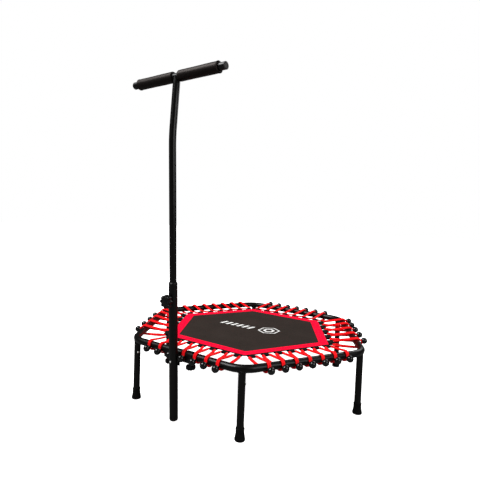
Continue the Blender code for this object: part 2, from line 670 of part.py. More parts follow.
def build_post_screw():
    """The screw through the post into the bracket's block."""
    tip = POST_SCREW_Y + APOTHEM + BLOCK_OUT - POST_SCREW_DEPTH
    profile = [  # radius, distance outwards from the post's axis
        (0, tip), (0.0024, tip), (0.0024, POST_R + 0.0005), (0.0046, POST_R + 0.0005),
        (0.0046, POST_R + 0.0012), (0.0030, POST_R + 0.0028), (0, POST_R + 0.0031),
    ]
    solid("post_screw", moved(lathe(profile, sides=16), POST_SCREW), "zinc")


def hook_line(radius, x):
    """Up from the flange, over the ring's tube towards the mat, and down to the flange."""
    arc = [(x, -APOTHEM - radius * math.cos(t), FRAME_Z + radius * math.sin(t))
           for t in np.linspace(0, math.pi, 13)]
    foot_z = FLANGE_Z1 + GAP
    return [(x, -APOTHEM - radius, foot_z)] + arc + [(x, -APOTHEM + radius, foot_z)]


def hook_outline(x):
    return hook_line(TUBE_R + GAP, x) + hook_line(HOOK_R, x)[::-1]


def build_clamp(name, x):
    hook = extrusion(hook_outline(x - CLAMP_W / 2), hook_outline(x + CLAMP_W / 2))
    solid(f"clamp_hook_{name}", hook, "satin_black")

    place = shift(x, -APOTHEM, 0)
    z = FLANGE_Z0 - GAP
    washer = lathe([(STUD_R + GAP, z), (STUD_R + GAP, z - 0.0016), (0.0088, z - 0.0016),
                    (0.0090, z - 0.0013), (0.0090, z)], sides=20)
    solid(f"clamp_washer_{name}", moved(washer, place), "zinc")

    origin = (x, -APOTHEM, CLAMP_KNOB_TOP_Z)
    stud_bottom = CLAMP_KNOB_BOTTOM_Z + 0.0032
    stud = lathe([(0, stud_bottom), (STUD_R, stud_bottom), (STUD_R, STUD_TOP_Z - 0.0010),
                  (STUD_R - 0.0010, STUD_TOP_Z), (0, STUD_TOP_Z)], sides=16)
    solid(f"clamp_stud_{name}", moved(stud, place), "zinc", origin)

    # The knob points down from the clamp: its own up is the object's down.
    down = place @ Matrix.Rotation(math.pi, 4, "X")
    knob = star_knob(CLAMP_KNOB_R, CLAMP_LOBE_DEPTH, -CLAMP_KNOB_TOP_Z, -CLAMP_KNOB_BOTTOM_Z,
                     neck_r=0.0085, neck_length=0.0050,
                     bore=STUD_R + GAP, bore_end=-CLAMP_KNOB_BOTTOM_Z - 0.0028)
    solid(f"clamp_knob_{name}", moved(knob, down), "plastic_black", origin)


# ---- build -------------------------------------------------------------------------------------
for obj in list(bpy.data.objects):
    bpy.data.objects.remove(obj, do_unlink=True)

leg_cutters = build_frame()
for number, corner in enumerate(CORNERS, 1):
    build_leg(number, corner, leg_cutters)
build_mat()
for side in range(6):
    build_bungees(side)
build_post()
build_height_knob()
build_handle()
build_bracket()
build_post_screw()
for clamp_name, clamp_x in zip(("left", "right"), CLAMP_X):
    build_clamp(clamp_name, clamp_x)

# Put the origin at the bottom centre of the whole object's box.
for obj in bpy.data.objects:
    obj.location.y += RING_Y
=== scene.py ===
"""A hexagonal mini trampoline with a T-shaped handle, built round its CAD frame.

Metres, +Z up, floor at z = 0. Parts are laid out about the mat's middle and then moved by ORIGIN.
The ring's corners lie every 60 degrees from +X, and the handle stands on the -Y side.
"""

import json
import math
from collections import namedtuple

import bpy
import numpy as np
from mathutils import Matrix, Vector

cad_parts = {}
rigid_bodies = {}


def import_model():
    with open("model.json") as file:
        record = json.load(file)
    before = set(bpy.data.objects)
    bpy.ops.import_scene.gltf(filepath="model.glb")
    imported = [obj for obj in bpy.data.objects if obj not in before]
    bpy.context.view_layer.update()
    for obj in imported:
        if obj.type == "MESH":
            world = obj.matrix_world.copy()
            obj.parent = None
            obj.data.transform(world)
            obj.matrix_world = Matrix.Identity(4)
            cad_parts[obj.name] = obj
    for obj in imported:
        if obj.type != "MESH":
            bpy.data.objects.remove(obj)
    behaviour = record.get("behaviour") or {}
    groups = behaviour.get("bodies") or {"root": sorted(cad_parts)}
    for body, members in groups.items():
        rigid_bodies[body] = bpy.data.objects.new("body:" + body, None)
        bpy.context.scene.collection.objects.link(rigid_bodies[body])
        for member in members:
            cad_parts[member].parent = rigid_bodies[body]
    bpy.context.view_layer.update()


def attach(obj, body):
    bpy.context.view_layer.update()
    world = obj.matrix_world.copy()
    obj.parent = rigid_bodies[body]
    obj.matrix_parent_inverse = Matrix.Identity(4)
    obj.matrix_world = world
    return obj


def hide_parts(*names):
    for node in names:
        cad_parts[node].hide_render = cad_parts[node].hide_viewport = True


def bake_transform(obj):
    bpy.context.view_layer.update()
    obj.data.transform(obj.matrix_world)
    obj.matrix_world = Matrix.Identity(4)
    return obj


for old in list(bpy.data.objects):
    bpy.data.objects.remove(old, do_unlink=True)

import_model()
rng = np.random.default_rng(7)

# ---- sizes -----------------------------------------------------------------------------------
# Ring: apothem is the distance from the middle to a side's centre line
RING_Y = 0.03047
COS30 = math.sqrt(3) / 2
CORNER_R, BEND_R, TUBE_R, FRAME_Z = 0.630, 0.115, 0.0165, 0.2935
APOTHEM = CORNER_R * COS30
BEND_CENTRE = (APOTHEM - BEND_R) / COS30

# Legs and feet
LEG_DIST = BEND_CENTRE + BEND_R
LEG_R, LEG_SCREW_Z = 0.0155, 0.2315
LEG_HEIGHTS = (0.0065, 0.010, 0.06, 0.15, 0.22)
LEG_SIDES = 40
FOOT_BASE_R, FOOT_SLEEVE_R, FOOT_H = 0.0222, 0.0180, 0.052

# Mat, red band, webbing
MAT_APOTHEM, MAT_RINGS = 0.3950, 54
MAT_UNDER, MAT_TOP = 0.2938, 0.2952
MAT_SAG = 0.0034
BORDER_IN, BORDER_OUT = 0.3514, 0.3962
BORDER_UNDER, BORDER_TOP = 0.2953, 0.2979
BORDER_PUFF, BORDER_STEPS = 0.0006, 12
BAND_STEPS = 56  # along each side
BAND_SIDE_LENGTH = 0.4575  # length of a side in the band's map
SEAM_INSET, SEAM_Z, MITRE_Z = 0.0045, 0.2976, 0.2983
STITCH_PITCH, STITCH_LENGTH, STITCH_R = 0.0052, 0.0036, 0.00042
STITCH_CORNER, STITCH_BOW = 0.004, 0.00025

# Cord sleeves, cords and balls, side by side counter-clockwise from the -Y side
SLEEVE_OUT, SLEEVE_Z, SLEEVE_HALF_THICK = 0.4225, 0.2945, 0.0006
SleeveSet = namedtuple("SleeveSet", "pitch length stitches strand_gap strand_gap_at_tube")
SLEEVE_SETS = {  # by the number of cords on a side
    7: SleeveSet(0.0680, 0.0280, 5, 0.0033, 0.0045),
    5: SleeveSet(0.0950, 0.0590, 11, 0.0125, 0.0075),
}
CORD_R, WRAP_R = 0.0040, 0.0212
BALL_R, BALL_DIST = 0.0160, 0.0360  # distance from the tube's centre line
BALL_ANGLE = (-16.0, -8.0, 20.0, 22.0, -20.0, 2.0)  # degrees above level
LOW_BALL, LOW_BALL_ANGLE = (5, 0), -40.0  # (side, cord)
UNDER_SIDE = (1, -1, -1, -1, 1, 1)  # which end of its sleeve a cord leaves to pass under the tube
SEVEN = [(i - 3) * 0.0672 for i in range(7)]
BALL_PLACES = (  # along each side
    [-0.1885, -0.1200, -0.0480, 0.0220, 0.0860, 0.1470, 0.2090],
    SEVEN,
    [-0.165, -0.060, 0.040, 0.135, 0.230],
    SEVEN,
    SEVEN,
    [-0.240, -0.170, -0.065, 0.041, 0.143],
)

# Handle post, stem and crossbar: heights run up the leaning post's own axis
LEAN, POST_X, POST_OUT = 0.045, -0.0127, 0.0310
POST_R, POST_BORE, POST_TOP, STEM_R = 0.0192, 0.0177, 0.6065, 0.0152
STEM_END, STEM_BEND, STEM_TOP, STEM_SET_BACK = 0.500, 1.2211, 1.4673, 0.0279
STEM_BEND_REACH = 0.045
BAR_R, BAR_HALF = 0.0150, 0.2535
GRIP_R, GRIP_IN, GRIP_OUT = 0.0228, 0.0162, 0.2215
KNOB_HEIGHT, KNOB_R, KNOB_THICK, KNOB_MID = 0.5370, 0.0295, 0.0220, 0.0420
POST_SCREW_Z = 0.2680

# Bracket and tube clamps
CLAMP_X, CLAMP_W, HOOK_R = (POST_X - 0.062, POST_X + 0.062), 0.037, 0.0190
FLANGE_Z0, FLANGE_Z1 = FRAME_Z - 0.0300, FRAME_Z - 0.0268
CLAMP_KNOB_R = 0.0215
CLAMP_KNOB_TOP, CLAMP_KNOB_BOTTOM = FRAME_Z - 0.0415, FRAME_Z - 0.0605

shift = Matrix.Translation
ORIGIN = shift((0, RING_Y, 0))
X90 = Matrix.Rotation(math.radians(90), 4, "X")
Y90 = Matrix.Rotation(math.radians(90), 4, "Y")
X180 = Matrix.Rotation(math.pi, 4, "X")
POST = shift((POST_X, -(APOTHEM + POST_OUT), 0)) @ Matrix.Rotation(LEAN, 4, "X")
HEIGHT_KNOB = POST @ shift((0, 0, KNOB_HEIGHT)) @ X90  # axis outwards from the post
BAR = shift(POST @ Vector((0, STEM_SET_BACK, STEM_TOP))) @ Y90  # axis along +X


# ---- node graphs -----------------------------------------------------------------------------
def rgba(colour):
    """Passes a socket through, and gives a grey level or an RGB triple full alpha."""
    if isinstance(colour, bpy.types.NodeSocket):
        return colour
    return (*colour, 1) if isinstance(colour, tuple) else (colour, colour, colour, 1)


def brighter(colour, factor):
    return tuple(c * factor for c in colour)


class Graph:
    """Adds nodes to a tree, each one left of the last."""

    def __init__(self, tree):
        self.tree = tree
        self.x = -300

    def feed(self, socket, value):
        if isinstance(value, bpy.types.NodeSocket):
            self.tree.links.new(value, socket)
        else:
            socket.default_value = value

    def add(self, kind, inputs=None, **settings):
        node = self.tree.nodes.new(kind)
        node.location = (self.x, 0)
        self.x -= 180
        for key, value in settings.items():
            setattr(node, key, value)
        for key, value in (inputs or {}).items():
            self.feed(node.inputs[key], value)
        return node

    def math(self, operation, a, b=0.0):
        return self.add("ShaderNodeMath", {0: a, 1: b}, operation=operation).outputs[0]


class Material(Graph):
    def __init__(self, name):
        self.mat = bpy.data.materials.new(name)
        self.mat.use_nodes = True
        super().__init__(self.mat.node_tree)
        self.bsdf = self.tree.nodes["Principled BSDF"]

    def set(self, **values):
        for key, value in values.items():
            self.feed(self.bsdf.inputs[key.replace("_", " ")], value)

    def coords(self, kind="Object"):
        return self.add("ShaderNodeTexCoord").outputs[kind]

    def axes(self, vector):
        return self.add("ShaderNodeSeparateXYZ", {"Vector": vector}).outputs

    def noise(self, where, scale, detail, rough=0.5, output="Fac"):
        inputs = {"Vector": where, "Scale": scale, "Detail": detail, "Roughness": rough}
        return self.add("ShaderNodeTexNoise", inputs).outputs[output]

    def ramp(self, fac, low, high):
        """Low and high are (position, colour)."""
        node = self.add("ShaderNodeValToRGB", {"Fac": fac})
        for element, (position, colour) in zip(node.color_ramp.elements, (low, high)):
            element.position = position
            element.color = rgba(colour)
        return node.outputs["Color"]

    def vary(self, value, gain, base):
        return self.math("ADD", self.math("MULTIPLY", value, gain), base)

    def wave(self, value, rate):
        return self.math("SINE", self.math("MULTIPLY", value, rate))

    def vector_math(self, operation, a, b):
        return self.add("ShaderNodeVectorMath", {0: a, 1: b}, operation=operation).outputs[0]

    def mix(self, fac, a, b):
        inputs = {0: fac, 6: rgba(a), 7: rgba(b)}
        return self.add("ShaderNodeMix", inputs, data_type="RGBA").outputs[2]

    def bump(self, height, strength, distance):
        inputs = {"Height": height, "Strength": strength, "Distance": distance}
        self.set(Normal=self.add("ShaderNodeBump", inputs).outputs["Normal"])


# ---- materials -------------------------------------------------------------------------------
def powder_coat(name, rough):
    base = (0.0017, 0.0015, 0.0014)
    n = Material(name)
    where = n.coords()
    peel = n.noise(where, scale=900, detail=2)
    patch = n.noise(where, scale=14, detail=4)
    wear = n.noise(where, scale=60, detail=6, rough=0.7)
    n.set(
        Base_Color=n.ramp(patch, low=(0.3, base), high=(0.7, brighter(base, 1.5))),
        Metallic=0.0,
        Specular_IOR_Level=0.34,
        Roughness=n.vary(wear, gain=0.16, base=rough - 0.07),
        Coat_Weight=0.05,
        Coat_Roughness=0.3,
    )
    n.bump(peel, strength=0.035, distance=0.0003)
    return n.mat


def moulded(name, base, rough, scale, depth, spec):
    """Plastic, rubber or thread, with a fine grain of the given scale and depth."""
    n = Material(name)
    where = n.coords()
    grain = n.noise(where, scale=scale, detail=2)
    patch = n.noise(where, scale=35, detail=4)
    n.set(
        Base_Color=n.ramp(patch, low=(0.3, base), high=(0.75, brighter(base, 1.7))),
        Roughness=n.vary(patch, gain=0.14, base=rough - 0.05),
        Specular_IOR_Level=spec,
    )
    n.bump(grain, strength=depth, distance=0.0004)
    return n.mat


def foam(name):
    n = Material(name)
    where = n.coords()
    cells = n.add("ShaderNodeTexVoronoi", {"Vector": where, "Scale": 900.0}).outputs["Distance"]
    soft = n.noise(where, scale=60, detail=4)
    n.set(
        Base_Color=n.ramp(
            soft, low=(0.3, (0.0042, 0.0033, 0.0031)), high=(0.75, (0.0075, 0.0058, 0.0054))
        ),
        Roughness=0.46,
        Specular_IOR_Level=0.24,
        Specular_Tint=(0.80, 0.64, 0.58, 1),
        Sheen_Weight=0.01,
        Sheen_Roughness=0.5,
        Sheen_Tint=(0.62, 0.5, 0.46, 1),
    )
    cell_gain, soft_gain = 0.8, 0.5  # shares of the two textures in the relief
    relief = n.math("ADD", n.math("MULTIPLY", cells, cell_gain), n.math("MULTIPLY", soft, soft_gain))
    n.bump(relief, strength=0.12, distance=0.0005)
    return n.mat


def woven(name, warp, weft, hollow_shade, pitch, rough, strength):
    """A plain weave from two crossed sets of threads, in the object's X and Y, with painted shade in
    the hollows.
    """
    waver = (0.0009, 0.0009, 0.0)  # how far the threads wander
    rate = math.pi / pitch
    n = Material(name)
    where = n.coords()
    warped = n.noise(where, scale=30, detail=2, output="Color")
    axes = n.axes(n.vector_math("ADD", where, n.vector_math("MULTIPLY", warped, waver)))
    wave_x = n.wave(axes["X"], rate)
    wave_y = n.wave(axes["Y"], rate)
    ridge_x = n.math("ABSOLUTE", wave_x)
    ridge_y = n.math("ABSOLUTE", wave_y)
    checks = n.math("MULTIPLY", n.wave(axes["X"], rate), n.wave(axes["Y"], rate))
    over = n.math("GREATER_THAN", checks, 0.0)
    upper = n.math("MULTIPLY", ridge_x, over)
    lower = n.math("MULTIPLY", ridge_y, n.math("SUBTRACT", 1.0, over))
    height = n.math("ADD", upper, lower)
    thread = n.mix(over, warp, weft)
    # Painted shade: where the thread height is low, in the hollows between threads, the colour is
    # darkened.
    shade = n.mix(n.ramp(height, low=(0.05, 0.0), high=(0.55, 1.0)), hollow_shade, thread)
    patches = n.noise(where, scale=7, detail=5)
    worn = tuple(min(1, c) for c in brighter(warp, 1.6))
    tone = n.mix(n.ramp(patches, low=(0.35, 0.0), high=(0.7, 0.25)), shade, worn)
    n.set(Base_Color=tone, Roughness=rough, Specular_IOR_Level=0.012)
    n.bump(height, strength=strength, distance=0.0003)
    return n.mat


def ribbed(name, base, light, pitch):
    """Webbing: two crossed sets of fine ribs, on the mesh's own map."""
    rate = 2 * math.pi / pitch
    cross_gain = 0.8  # height of the ribs across the map's second axis
    n = Material(name)
    uv = n.axes(n.coords("UV"))
    rib = n.math("ABSOLUTE", n.wave(uv["X"], rate / 2))
    cross = n.math("ABSOLUTE", n.wave(uv["Y"], rate / 3))
    height = n.math("MAXIMUM", rib, n.math("MULTIPLY", cross, cross_gain))
    # Painted light and shade: the rib crests are coloured lighter and the grooves between them
    # darker.
    n.set(Base_Color=n.mix(height, base, light), Roughness=0.8, Specular_IOR_Level=0.10)
    n.bump(height, strength=0.5, distance=0.0003)
    return n.mat


def braided(name, red, groove_shade, fleck, turns, pitch):
    """A braided cover: two crossed spirals on a map of u along in metres, v round 0 to 1."""
    n = Material(name)
    uv = n.axes(n.coords("UV"))
    around = n.math("MULTIPLY", uv["Y"], 2 * math.pi * turns)
    along = n.math("MULTIPLY", uv["X"], 2 * math.pi / pitch)
    one = n.math("SINE", n.math("ADD", around, along))
    two = n.math("SINE", n.math("SUBTRACT", around, along))
    height = n.math("MAXIMUM", n.math("ABSOLUTE", one), n.math("ABSOLUTE", two))
    # Painted shade: the grooves between the braid's strands are darkened.
    tone = n.mix(n.ramp(height, low=(0.45, 0.0), high=(0.9, 1.0)), groove_shade, red)
    spots = n.noise(n.coords(), scale=420, detail=2)
    tone = n.mix(n.ramp(spots, low=(0.62, 0.0), high=(0.78, 0.35)), tone, fleck)
    n.set(Base_Color=tone, Roughness=0.5, Specular_IOR_Level=0.10)
    n.bump(height, strength=0.45, distance=0.0005)
    return n.mat


def zinc(name):
    stretch = (1.0, 1.0, 60.0)  # squeezes the noise into fine lines across Z
    n = Material(name)
    where = n.coords()
    patch = n.noise(where, scale=160, detail=5)
    stretched = n.add("ShaderNodeMapping", {"Vector": where, "Scale": stretch}).outputs[0]
    lines = n.noise(stretched, scale=90, detail=2)
    n.set(
        Base_Color=n.ramp(patch, low=(0.3, (0.55, 0.55, 0.53)), high=(0.7, (0.80, 0.80, 0.78))),
        Metallic=0.5,
        Roughness=n.vary(patch, gain=0.2, base=0.16),
    )
    n.bump(lines, strength=0.12, distance=0.0002)
    return n.mat


LOOKS = {  # material and its slot
    "paint": (powder_coat("satin_powder_coat", rough=0.33), "frame_paint"),
    "stem_paint": (powder_coat("stem_powder_coat", rough=0.29), "frame_paint"),
    "rubber": (moulded("matte_rubber", base=(0.0020, 0.0020, 0.0021), rough=0.56,
                       scale=900, depth=0.25, spec=0.16), "foot_rubber"),
    "plastic": (moulded("moulded_plastic", base=(0.0018, 0.0018, 0.0019), rough=0.32,
                        scale=1500, depth=0.15, spec=0.4), "black_plastic"),
    "ball": (moulded("glossy_ball", base=(0.0030, 0.0030, 0.0032), rough=0.13,
                     scale=1500, depth=0.03, spec=0.6), "black_plastic"),
    "cap": (moulded("end_cap_plastic", base=(0.016, 0.0155, 0.015), rough=0.42,
                    scale=1200, depth=0.2, spec=0.5), "black_plastic"),
    "foam": (foam("foam_grip"), "foam"),
    "mat": (woven("mat_weave", warp=(0.0275, 0.0208, 0.0178), weft=(0.0325, 0.0250, 0.0215),
                  hollow_shade=(0.009, 0.0072, 0.0065), pitch=0.0022, rough=0.72, strength=0.5),
            "mat_fabric"),
    "border": (woven("red_band", warp=(0.92, 0.0008, 0.026), weft=(1.0, 0.0012, 0.034),
                     hollow_shade=(0.42, 0.0005, 0.012), pitch=0.0011, rough=0.62, strength=0.30),
               "border_fabric"),
    "web": (ribbed("black_webbing", base=(0.0022, 0.0022, 0.0026),
                   light=(0.0065, 0.0065, 0.0070), pitch=0.0011), "webbing"),
    "cord": (braided("red_cord", red=(0.95, 0.0022, 0.0065), groove_shade=(0.46, 0.0008, 0.003),
                     fleck=(0.98, 0.03, 0.035), turns=4, pitch=0.0052), "cord"),
    "thread": (moulded("stitching_thread", base=(0.52, 0.0030, 0.020), rough=0.6,
                       scale=3000, depth=0.3, spec=0.3), "border_fabric"),
    "dark_thread": (moulded("dark_thread", base=(0.012, 0.012, 0.012), rough=0.6,
                            scale=3000, depth=0.3, spec=0.3), "webbing"),
    "zinc": (zinc("bright_zinc"), "zinc_steel"),
    "print": (woven("white_print", warp=(0.72, 0.72, 0.70), weft=(0.80, 0.80, 0.78),
                    hollow_shade=(0.20, 0.19, 0.18), pitch=0.0022, rough=0.6, strength=0.45),
              "mat_fabric"),
}


# ---- making parts ----------------------------------------------------------------------------
def make(name, look, shapes, smooth, bevel=0.0):
    """One mesh object from one or more (points, faces[, uv per face corner]) shapes."""
    points, faces, maps = [], [], []
    for shape in [shapes] if isinstance(shapes, tuple) else shapes:
        start = len(points)
        points += shape[0]
        faces += [tuple(i + start for i in face) for face in shape[1]]
        if len(shape) > 2:
            maps += shape[2]
    mesh = bpy.data.meshes.new(name)
    mesh.from_pydata(points, [], faces)
    mesh.transform(ORIGIN)
    for polygon in mesh.polygons:
        polygon.use_smooth = True
    mesh.set_sharp_from_angle(angle=math.radians(smooth))
    if maps:
        layer = mesh.uv_layers.new(name="map")
        corners = [uv for face in maps for uv in face]
        layer.data.foreach_set("uv", np.array(corners, np.float32).ravel())
    mesh.materials.append(LOOKS[look][0])
    mesh.update()
    obj = bpy.data.objects.new(name, mesh)
    bpy.context.scene.collection.objects.link(obj)
    if bevel:
        modifier = obj.modifiers.new("Bevel", "BEVEL")
        modifier.width = bevel
        modifier.segments = 3
        modifier.limit_method = "ANGLE"
        modifier.angle_limit = math.radians(40)
        modifier.harden_normals = False
    return obj


def part(name, look, body, shapes, *nodes, smooth=35.0, bevel=0.0):
    """A part that rides on a body and stands in for the named CAD nodes."""
    obj = make(name, look, shapes, smooth, bevel)
    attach(obj, body)
    if nodes:
        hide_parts(*nodes)


# ---- shapes ----------------------------------------------------------------------------------
def moved(shape, matrix):
    return ([tuple(matrix @ Vector(p)) for p in shape[0]],) + tuple(shape[1:])


def circle(radius, count):
    turns = [2 * math.pi * i / count for i in range(count)]
    return [(radius * math.cos(t), radius * math.sin(t)) for t in turns]


def lathe(profile, sides=48, lobes=0):
    """Turns (radius, height[, depth of the hollows between lobes]) about Z.

    A profile that starts off the axis is closed on itself.
    """
    points, rows = [], []
    for radius, height, *rest in profile:
        depth = rest[0] if rest else 0.0
        if radius < 1e-9:
            rows.append([len(points)])
            points.append((0.0, 0.0, height))
            continue
        rows.append(list(range(len(points), len(points) + sides)))
        for k in range(sides):
            t = 2 * math.pi * k / sides
            r = radius - depth * (0.5 - 0.5 * math.cos(lobes * t)) ** 1.6
            points.append((r * math.cos(t), r * math.sin(t), height))
    closed = profile[0][0] > 1e-9
    faces = []
    for i in range(len(rows) if closed else len(rows) - 1):
        row, after = rows[i], rows[(i + 1) % len(rows)]
        for k in range(sides):
            m = (k + 1) % sides
            if len(row) == 1:
                faces.append((row[0], after[m], after[k]))
            elif len(after) == 1:
                faces.append((row[k], row[m], after[0]))
            else:
                faces.append((row[k], row[m], after[m], after[k]))
    return points, faces


def rounded(profile, radius, steps=3):
    """Rounds the profile's corners off, except at its ends and on the axis."""
    out = []
    for i, corner in enumerate(profile):
        if i in (0, len(profile) - 1) or corner[0] < 1e-9:
            out.append(corner)
            continue
        middle = Vector(corner)
        back, ahead = Vector(profile[i - 1]) - middle, Vector(profile[i + 1]) - middle
        r = min(radius, back.length * 0.45, ahead.length * 0.45)
        start, end = middle + back.normalized() * r, middle + ahead.normalized() * r
        for k in range(steps + 1):
            t = k / steps
            out.append(tuple(start * (1 - t) ** 2 + middle * 2 * t * (1 - t) + end * t * t))
    return out


def lengths_along(path):
    return np.concatenate([[0], np.cumsum(np.linalg.norm(np.diff(path, axis=0), axis=1))])


def unit_rows(vectors):
    return vectors / np.linalg.norm(vectors, axis=1)[:, None]


def sweep(path, radius, sides, closed=False):
    """A round bar along a path, with a map: u along it in metres, v round it 0 to 1.

    The radius is one number, or one for each point of the path.
    """
    path = np.array(path, float)
    n = len(path)
    radii = np.broadcast_to(radius, n)
    if closed:
        tangents = unit_rows(np.roll(path, -1, 0) - np.roll(path, 1, 0))
        length = lengths_along(np.vstack([path, path[:1]]))
    else:
        tangents = unit_rows(np.gradient(path, axis=0))
        length = lengths_along(path)
    normal = np.cross(tangents[0], (0, 0, 1.0))
    if np.linalg.norm(normal) < 0.1:
        normal = np.cross(tangents[0], (0, 1.0, 0))
    normals = [normal / np.linalg.norm(normal)]
    for i in list(range(1, n)) + ([0] if closed else []):
        v = normals[-1] - tangents[i] * np.dot(normals[-1], tangents[i])
        normals.append(v / np.linalg.norm(v))
    twist = 0.0
    if closed:
        # Spread the angle by which the last ring misses the first.
        last = normals.pop()
        side = np.cross(tangents[0], normals[0])
        twist = math.atan2(np.dot(last, side), np.dot(last, normals[0]))
    points, faces, maps = [], [], []
    for i in range(n):
        side = np.cross(tangents[i], normals[i])
        for k in range(sides):
            w = 2 * math.pi * k / sides - twist * i / n
            spoke = normals[i] * math.cos(w) + side * math.sin(w)
            points.append(tuple(path[i] + radii[i] * spoke))
    for i in range(n if closed else n - 1):
        j = (i + 1) % n
        u0, u1 = length[i], length[i + 1]
        for k in range(sides):
            m = (k + 1) % sides
            faces.append((i * sides + k, i * sides + m, j * sides + m, j * sides + k))
            v0, v1 = k / sides, (k + 1) / sides
            maps.append([(u0, v0), (u0, v1), (u1, v1), (u1, v0)])
    if not closed:
        far = (n - 1) * sides
        faces.append(tuple(range(sides - 1, -1, -1)))
        faces.append(tuple(range(far, far + sides)))
        for u in (0.0, length[-1]):
            maps.append([(u, k / sides) for k in range(sides)])
    return points, faces, maps


def smooth_path(points, per):
    """A uniform Catmull-Rom curve through the points, with so many steps per span."""
    p = np.array(points, float)
    n = len(p)
    out = []
    for i in range(n - 1):
        b, c = p[i], p[i + 1]
        a = p[i - 1] if i else 2 * b - c
        d = p[i + 2] if i + 2 < n else 2 * c - b
        for k in range(per):
            t = k / per
            square = (2 * a - 5 * b + 4 * c - d) * t * t
            cube = (3 * b - a - 3 * c + d) * t**3
            out.append(0.5 * (2 * b + (c - a) * t + square + cube))
    out.append(p[-1])
    return np.array(out)


def box(x0, x1, y0, y1, z0, z1):
    points = [(x, y, z) for x in (x0, x1) for y in (y0, y1) for z in (z0, z1)]
    faces = [(0, 1, 3, 2), (4, 6, 7, 5), (0, 4, 5, 1), (2, 3, 7, 6), (0, 2, 6, 4), (1, 5, 7, 3)]
    return points, faces


def prism(outline, x0, x1):
    """A (y, z) outline carried from x0 to x1."""
    n = len(outline)
    points = [(x, y, z) for x in (x0, x1) for y, z in outline]
    faces = [tuple(range(n - 1, -1, -1)), tuple(range(n, 2 * n))]
    faces += [(k, (k + 1) % n, n + (k + 1) % n, n + k) for k in range(n)]
    return points, faces


def side_matrix(k):
    """Takes (along side k counter-clockwise, out from the middle, up); a mirrored frame."""
    angle = math.radians(-90 + 60 * k)
    x, y = math.cos(angle), math.sin(angle)
    return Matrix(((-y, x, 0, 0), (x, y, 0, 0), (0, 0, 1, 0), (0, 0, 0, 1)))


SIDES = [side_matrix(k) for k in range(6)]


def on_side(k, points):
    return [tuple(SIDES[k] @ Vector(p)) for p in points]


# ---- frame ring, legs, feet ------------------------------------------------------------------
def ring_path(steps=20, straight=6):
    """The tube's centre line: a bend of so many steps at each corner, then a straight."""

    def bend_point(corner, degrees):
        middle = math.radians(60 * corner)
        t = middle + math.radians(degrees)
        x = BEND_CENTRE * math.cos(middle) + BEND_R * math.cos(t)
        y = BEND_CENTRE * math.sin(middle) + BEND_R * math.sin(t)
        return np.array((x, y, FRAME_Z))

    path = []
    for k in range(6):
        path += [bend_point(k, -30 + 60 * i / steps) for i in range(steps + 1)]
        start, end = path[-1], bend_point(k + 1, -30)
        path += [start + (end - start) * i / straight for i in range(1, straight)]
    return path


def under_ring(x, y, clear):
    """Height of the ring's underside near a corner, in the leg's own axes (x outwards)."""
    distance = math.hypot(x + BEND_R, y) - BEND_R
    return FRAME_Z - math.sqrt(max((TUBE_R + clear) ** 2 - distance**2, 1e-9))


def leg_shape():
    """A round leg whose top follows the ring's underside."""
    clear = 0.0003
    rim = circle(LEG_R, LEG_SIDES)
    points = [(x, y, h) for h in LEG_HEIGHTS for x, y in rim]
    points += [(x, y, under_ring(x, y, clear)) for x, y in rim]
    points.append((0, 0, FRAME_Z - TUBE_R - clear))
    n = LEG_SIDES
    last = len(LEG_HEIGHTS) * n
    faces = []
    for row in range(0, last, n):
        for i in range(n):
            j = (i + 1) % n
            faces.append((row + i, row + j, row + n + j, row + n + i))
    faces += [(last + i, last + (i + 1) % n, last + n) for i in range(n)]
    faces.append(tuple(range(n - 1, -1, -1)))
    return points, faces


def leg_weld():
    """A wavy bead round the top of the leg."""
    rim = circle(LEG_R + 0.0003, 72)
    path = [(x, y, under_ring(x, y, 0.0006) - 0.0002) for x, y in rim]
    wave, scatter = 0.00022, 0.0001
    radii = [
        0.0013 + wave * math.sin(i * 1.7) + scatter * rng.standard_normal()
        for i in range(len(path))
    ]
    return sweep(path, radii, 10, closed=True)


def foot_shape():
    """A flared base, a waist, and a sleeve with a rolled rim round the leg."""
    base, sleeve, bore = FOOT_BASE_R, FOOT_SLEEVE_R, LEG_R + 0.0004
    profile = [
        (0, 0), (base - 0.0030, 0.0), (base - 0.0010, 0.0006), (base, 0.0030),
        (base, 0.0095), (base - 0.0010, 0.0120), (0.0202, 0.0180), (0.0192, 0.0235),
        (sleeve + 0.0008, 0.0262), (sleeve + 0.0002, 0.0285), (sleeve, FOOT_H - 0.0070),
        (sleeve + 0.0006, FOOT_H - 0.0060), (sleeve + 0.0006, FOOT_H - 0.0012),
        (sleeve - 0.0004, FOOT_H), (bore + 0.0004, FOOT_H), (bore, FOOT_H - 0.0008),
        (bore, 0.0060), (0, 0.0060),
    ]
    return lathe(rounded(profile, radius=0.0012))


LEG_SCREW_PROFILE = [  # (radius, distance from the leg's axis)
    (0, 0.0120), (0.0020, 0.0120), (0.0020, 0.0157), (0.0040, 0.0157), (0.0041, 0.0162),
    (0.0037, 0.0170), (0.0028, 0.0177), (0.0014, 0.0180), (0.0012, 0.0172), (0, 0.0172),
]


def build_frame():
    ring = sweep(ring_path(), TUBE_R, 40, closed=True)
    part("frame_tube", "paint", "frame", ring, "frame_ring")
    welds, screws = [], []
    for k in range(6):
        angle = math.radians(60 * k)
        foot_point = (LEG_DIST * math.cos(angle), LEG_DIST * math.sin(angle), 0)
        place = shift(foot_point) @ Matrix.Rotation(angle, 4, "Z")
        leg, foot = moved(leg_shape(), place), moved(foot_shape(), place)
        part(f"leg_tube_{k + 1}", "paint", "frame", leg, f"leg_{k + 1}")
        part(f"rubber_foot_{k + 1}", "rubber", "frame", foot, f"foot_{k + 1}", smooth=50)
        welds.append(moved(leg_weld(), place))
        screw_place = place @ shift((0, 0, LEG_SCREW_Z)) @ X90.inverted()
        screws.append(moved(lathe(LEG_SCREW_PROFILE, 24), screw_place))
    part("leg_welds", "paint", "frame", welds, smooth=60)
    screw_nodes = [f"leg_screw_{k}" for k in range(1, 7)]
    part("leg_screw_heads", "zinc", "frame", screws, *screw_nodes)


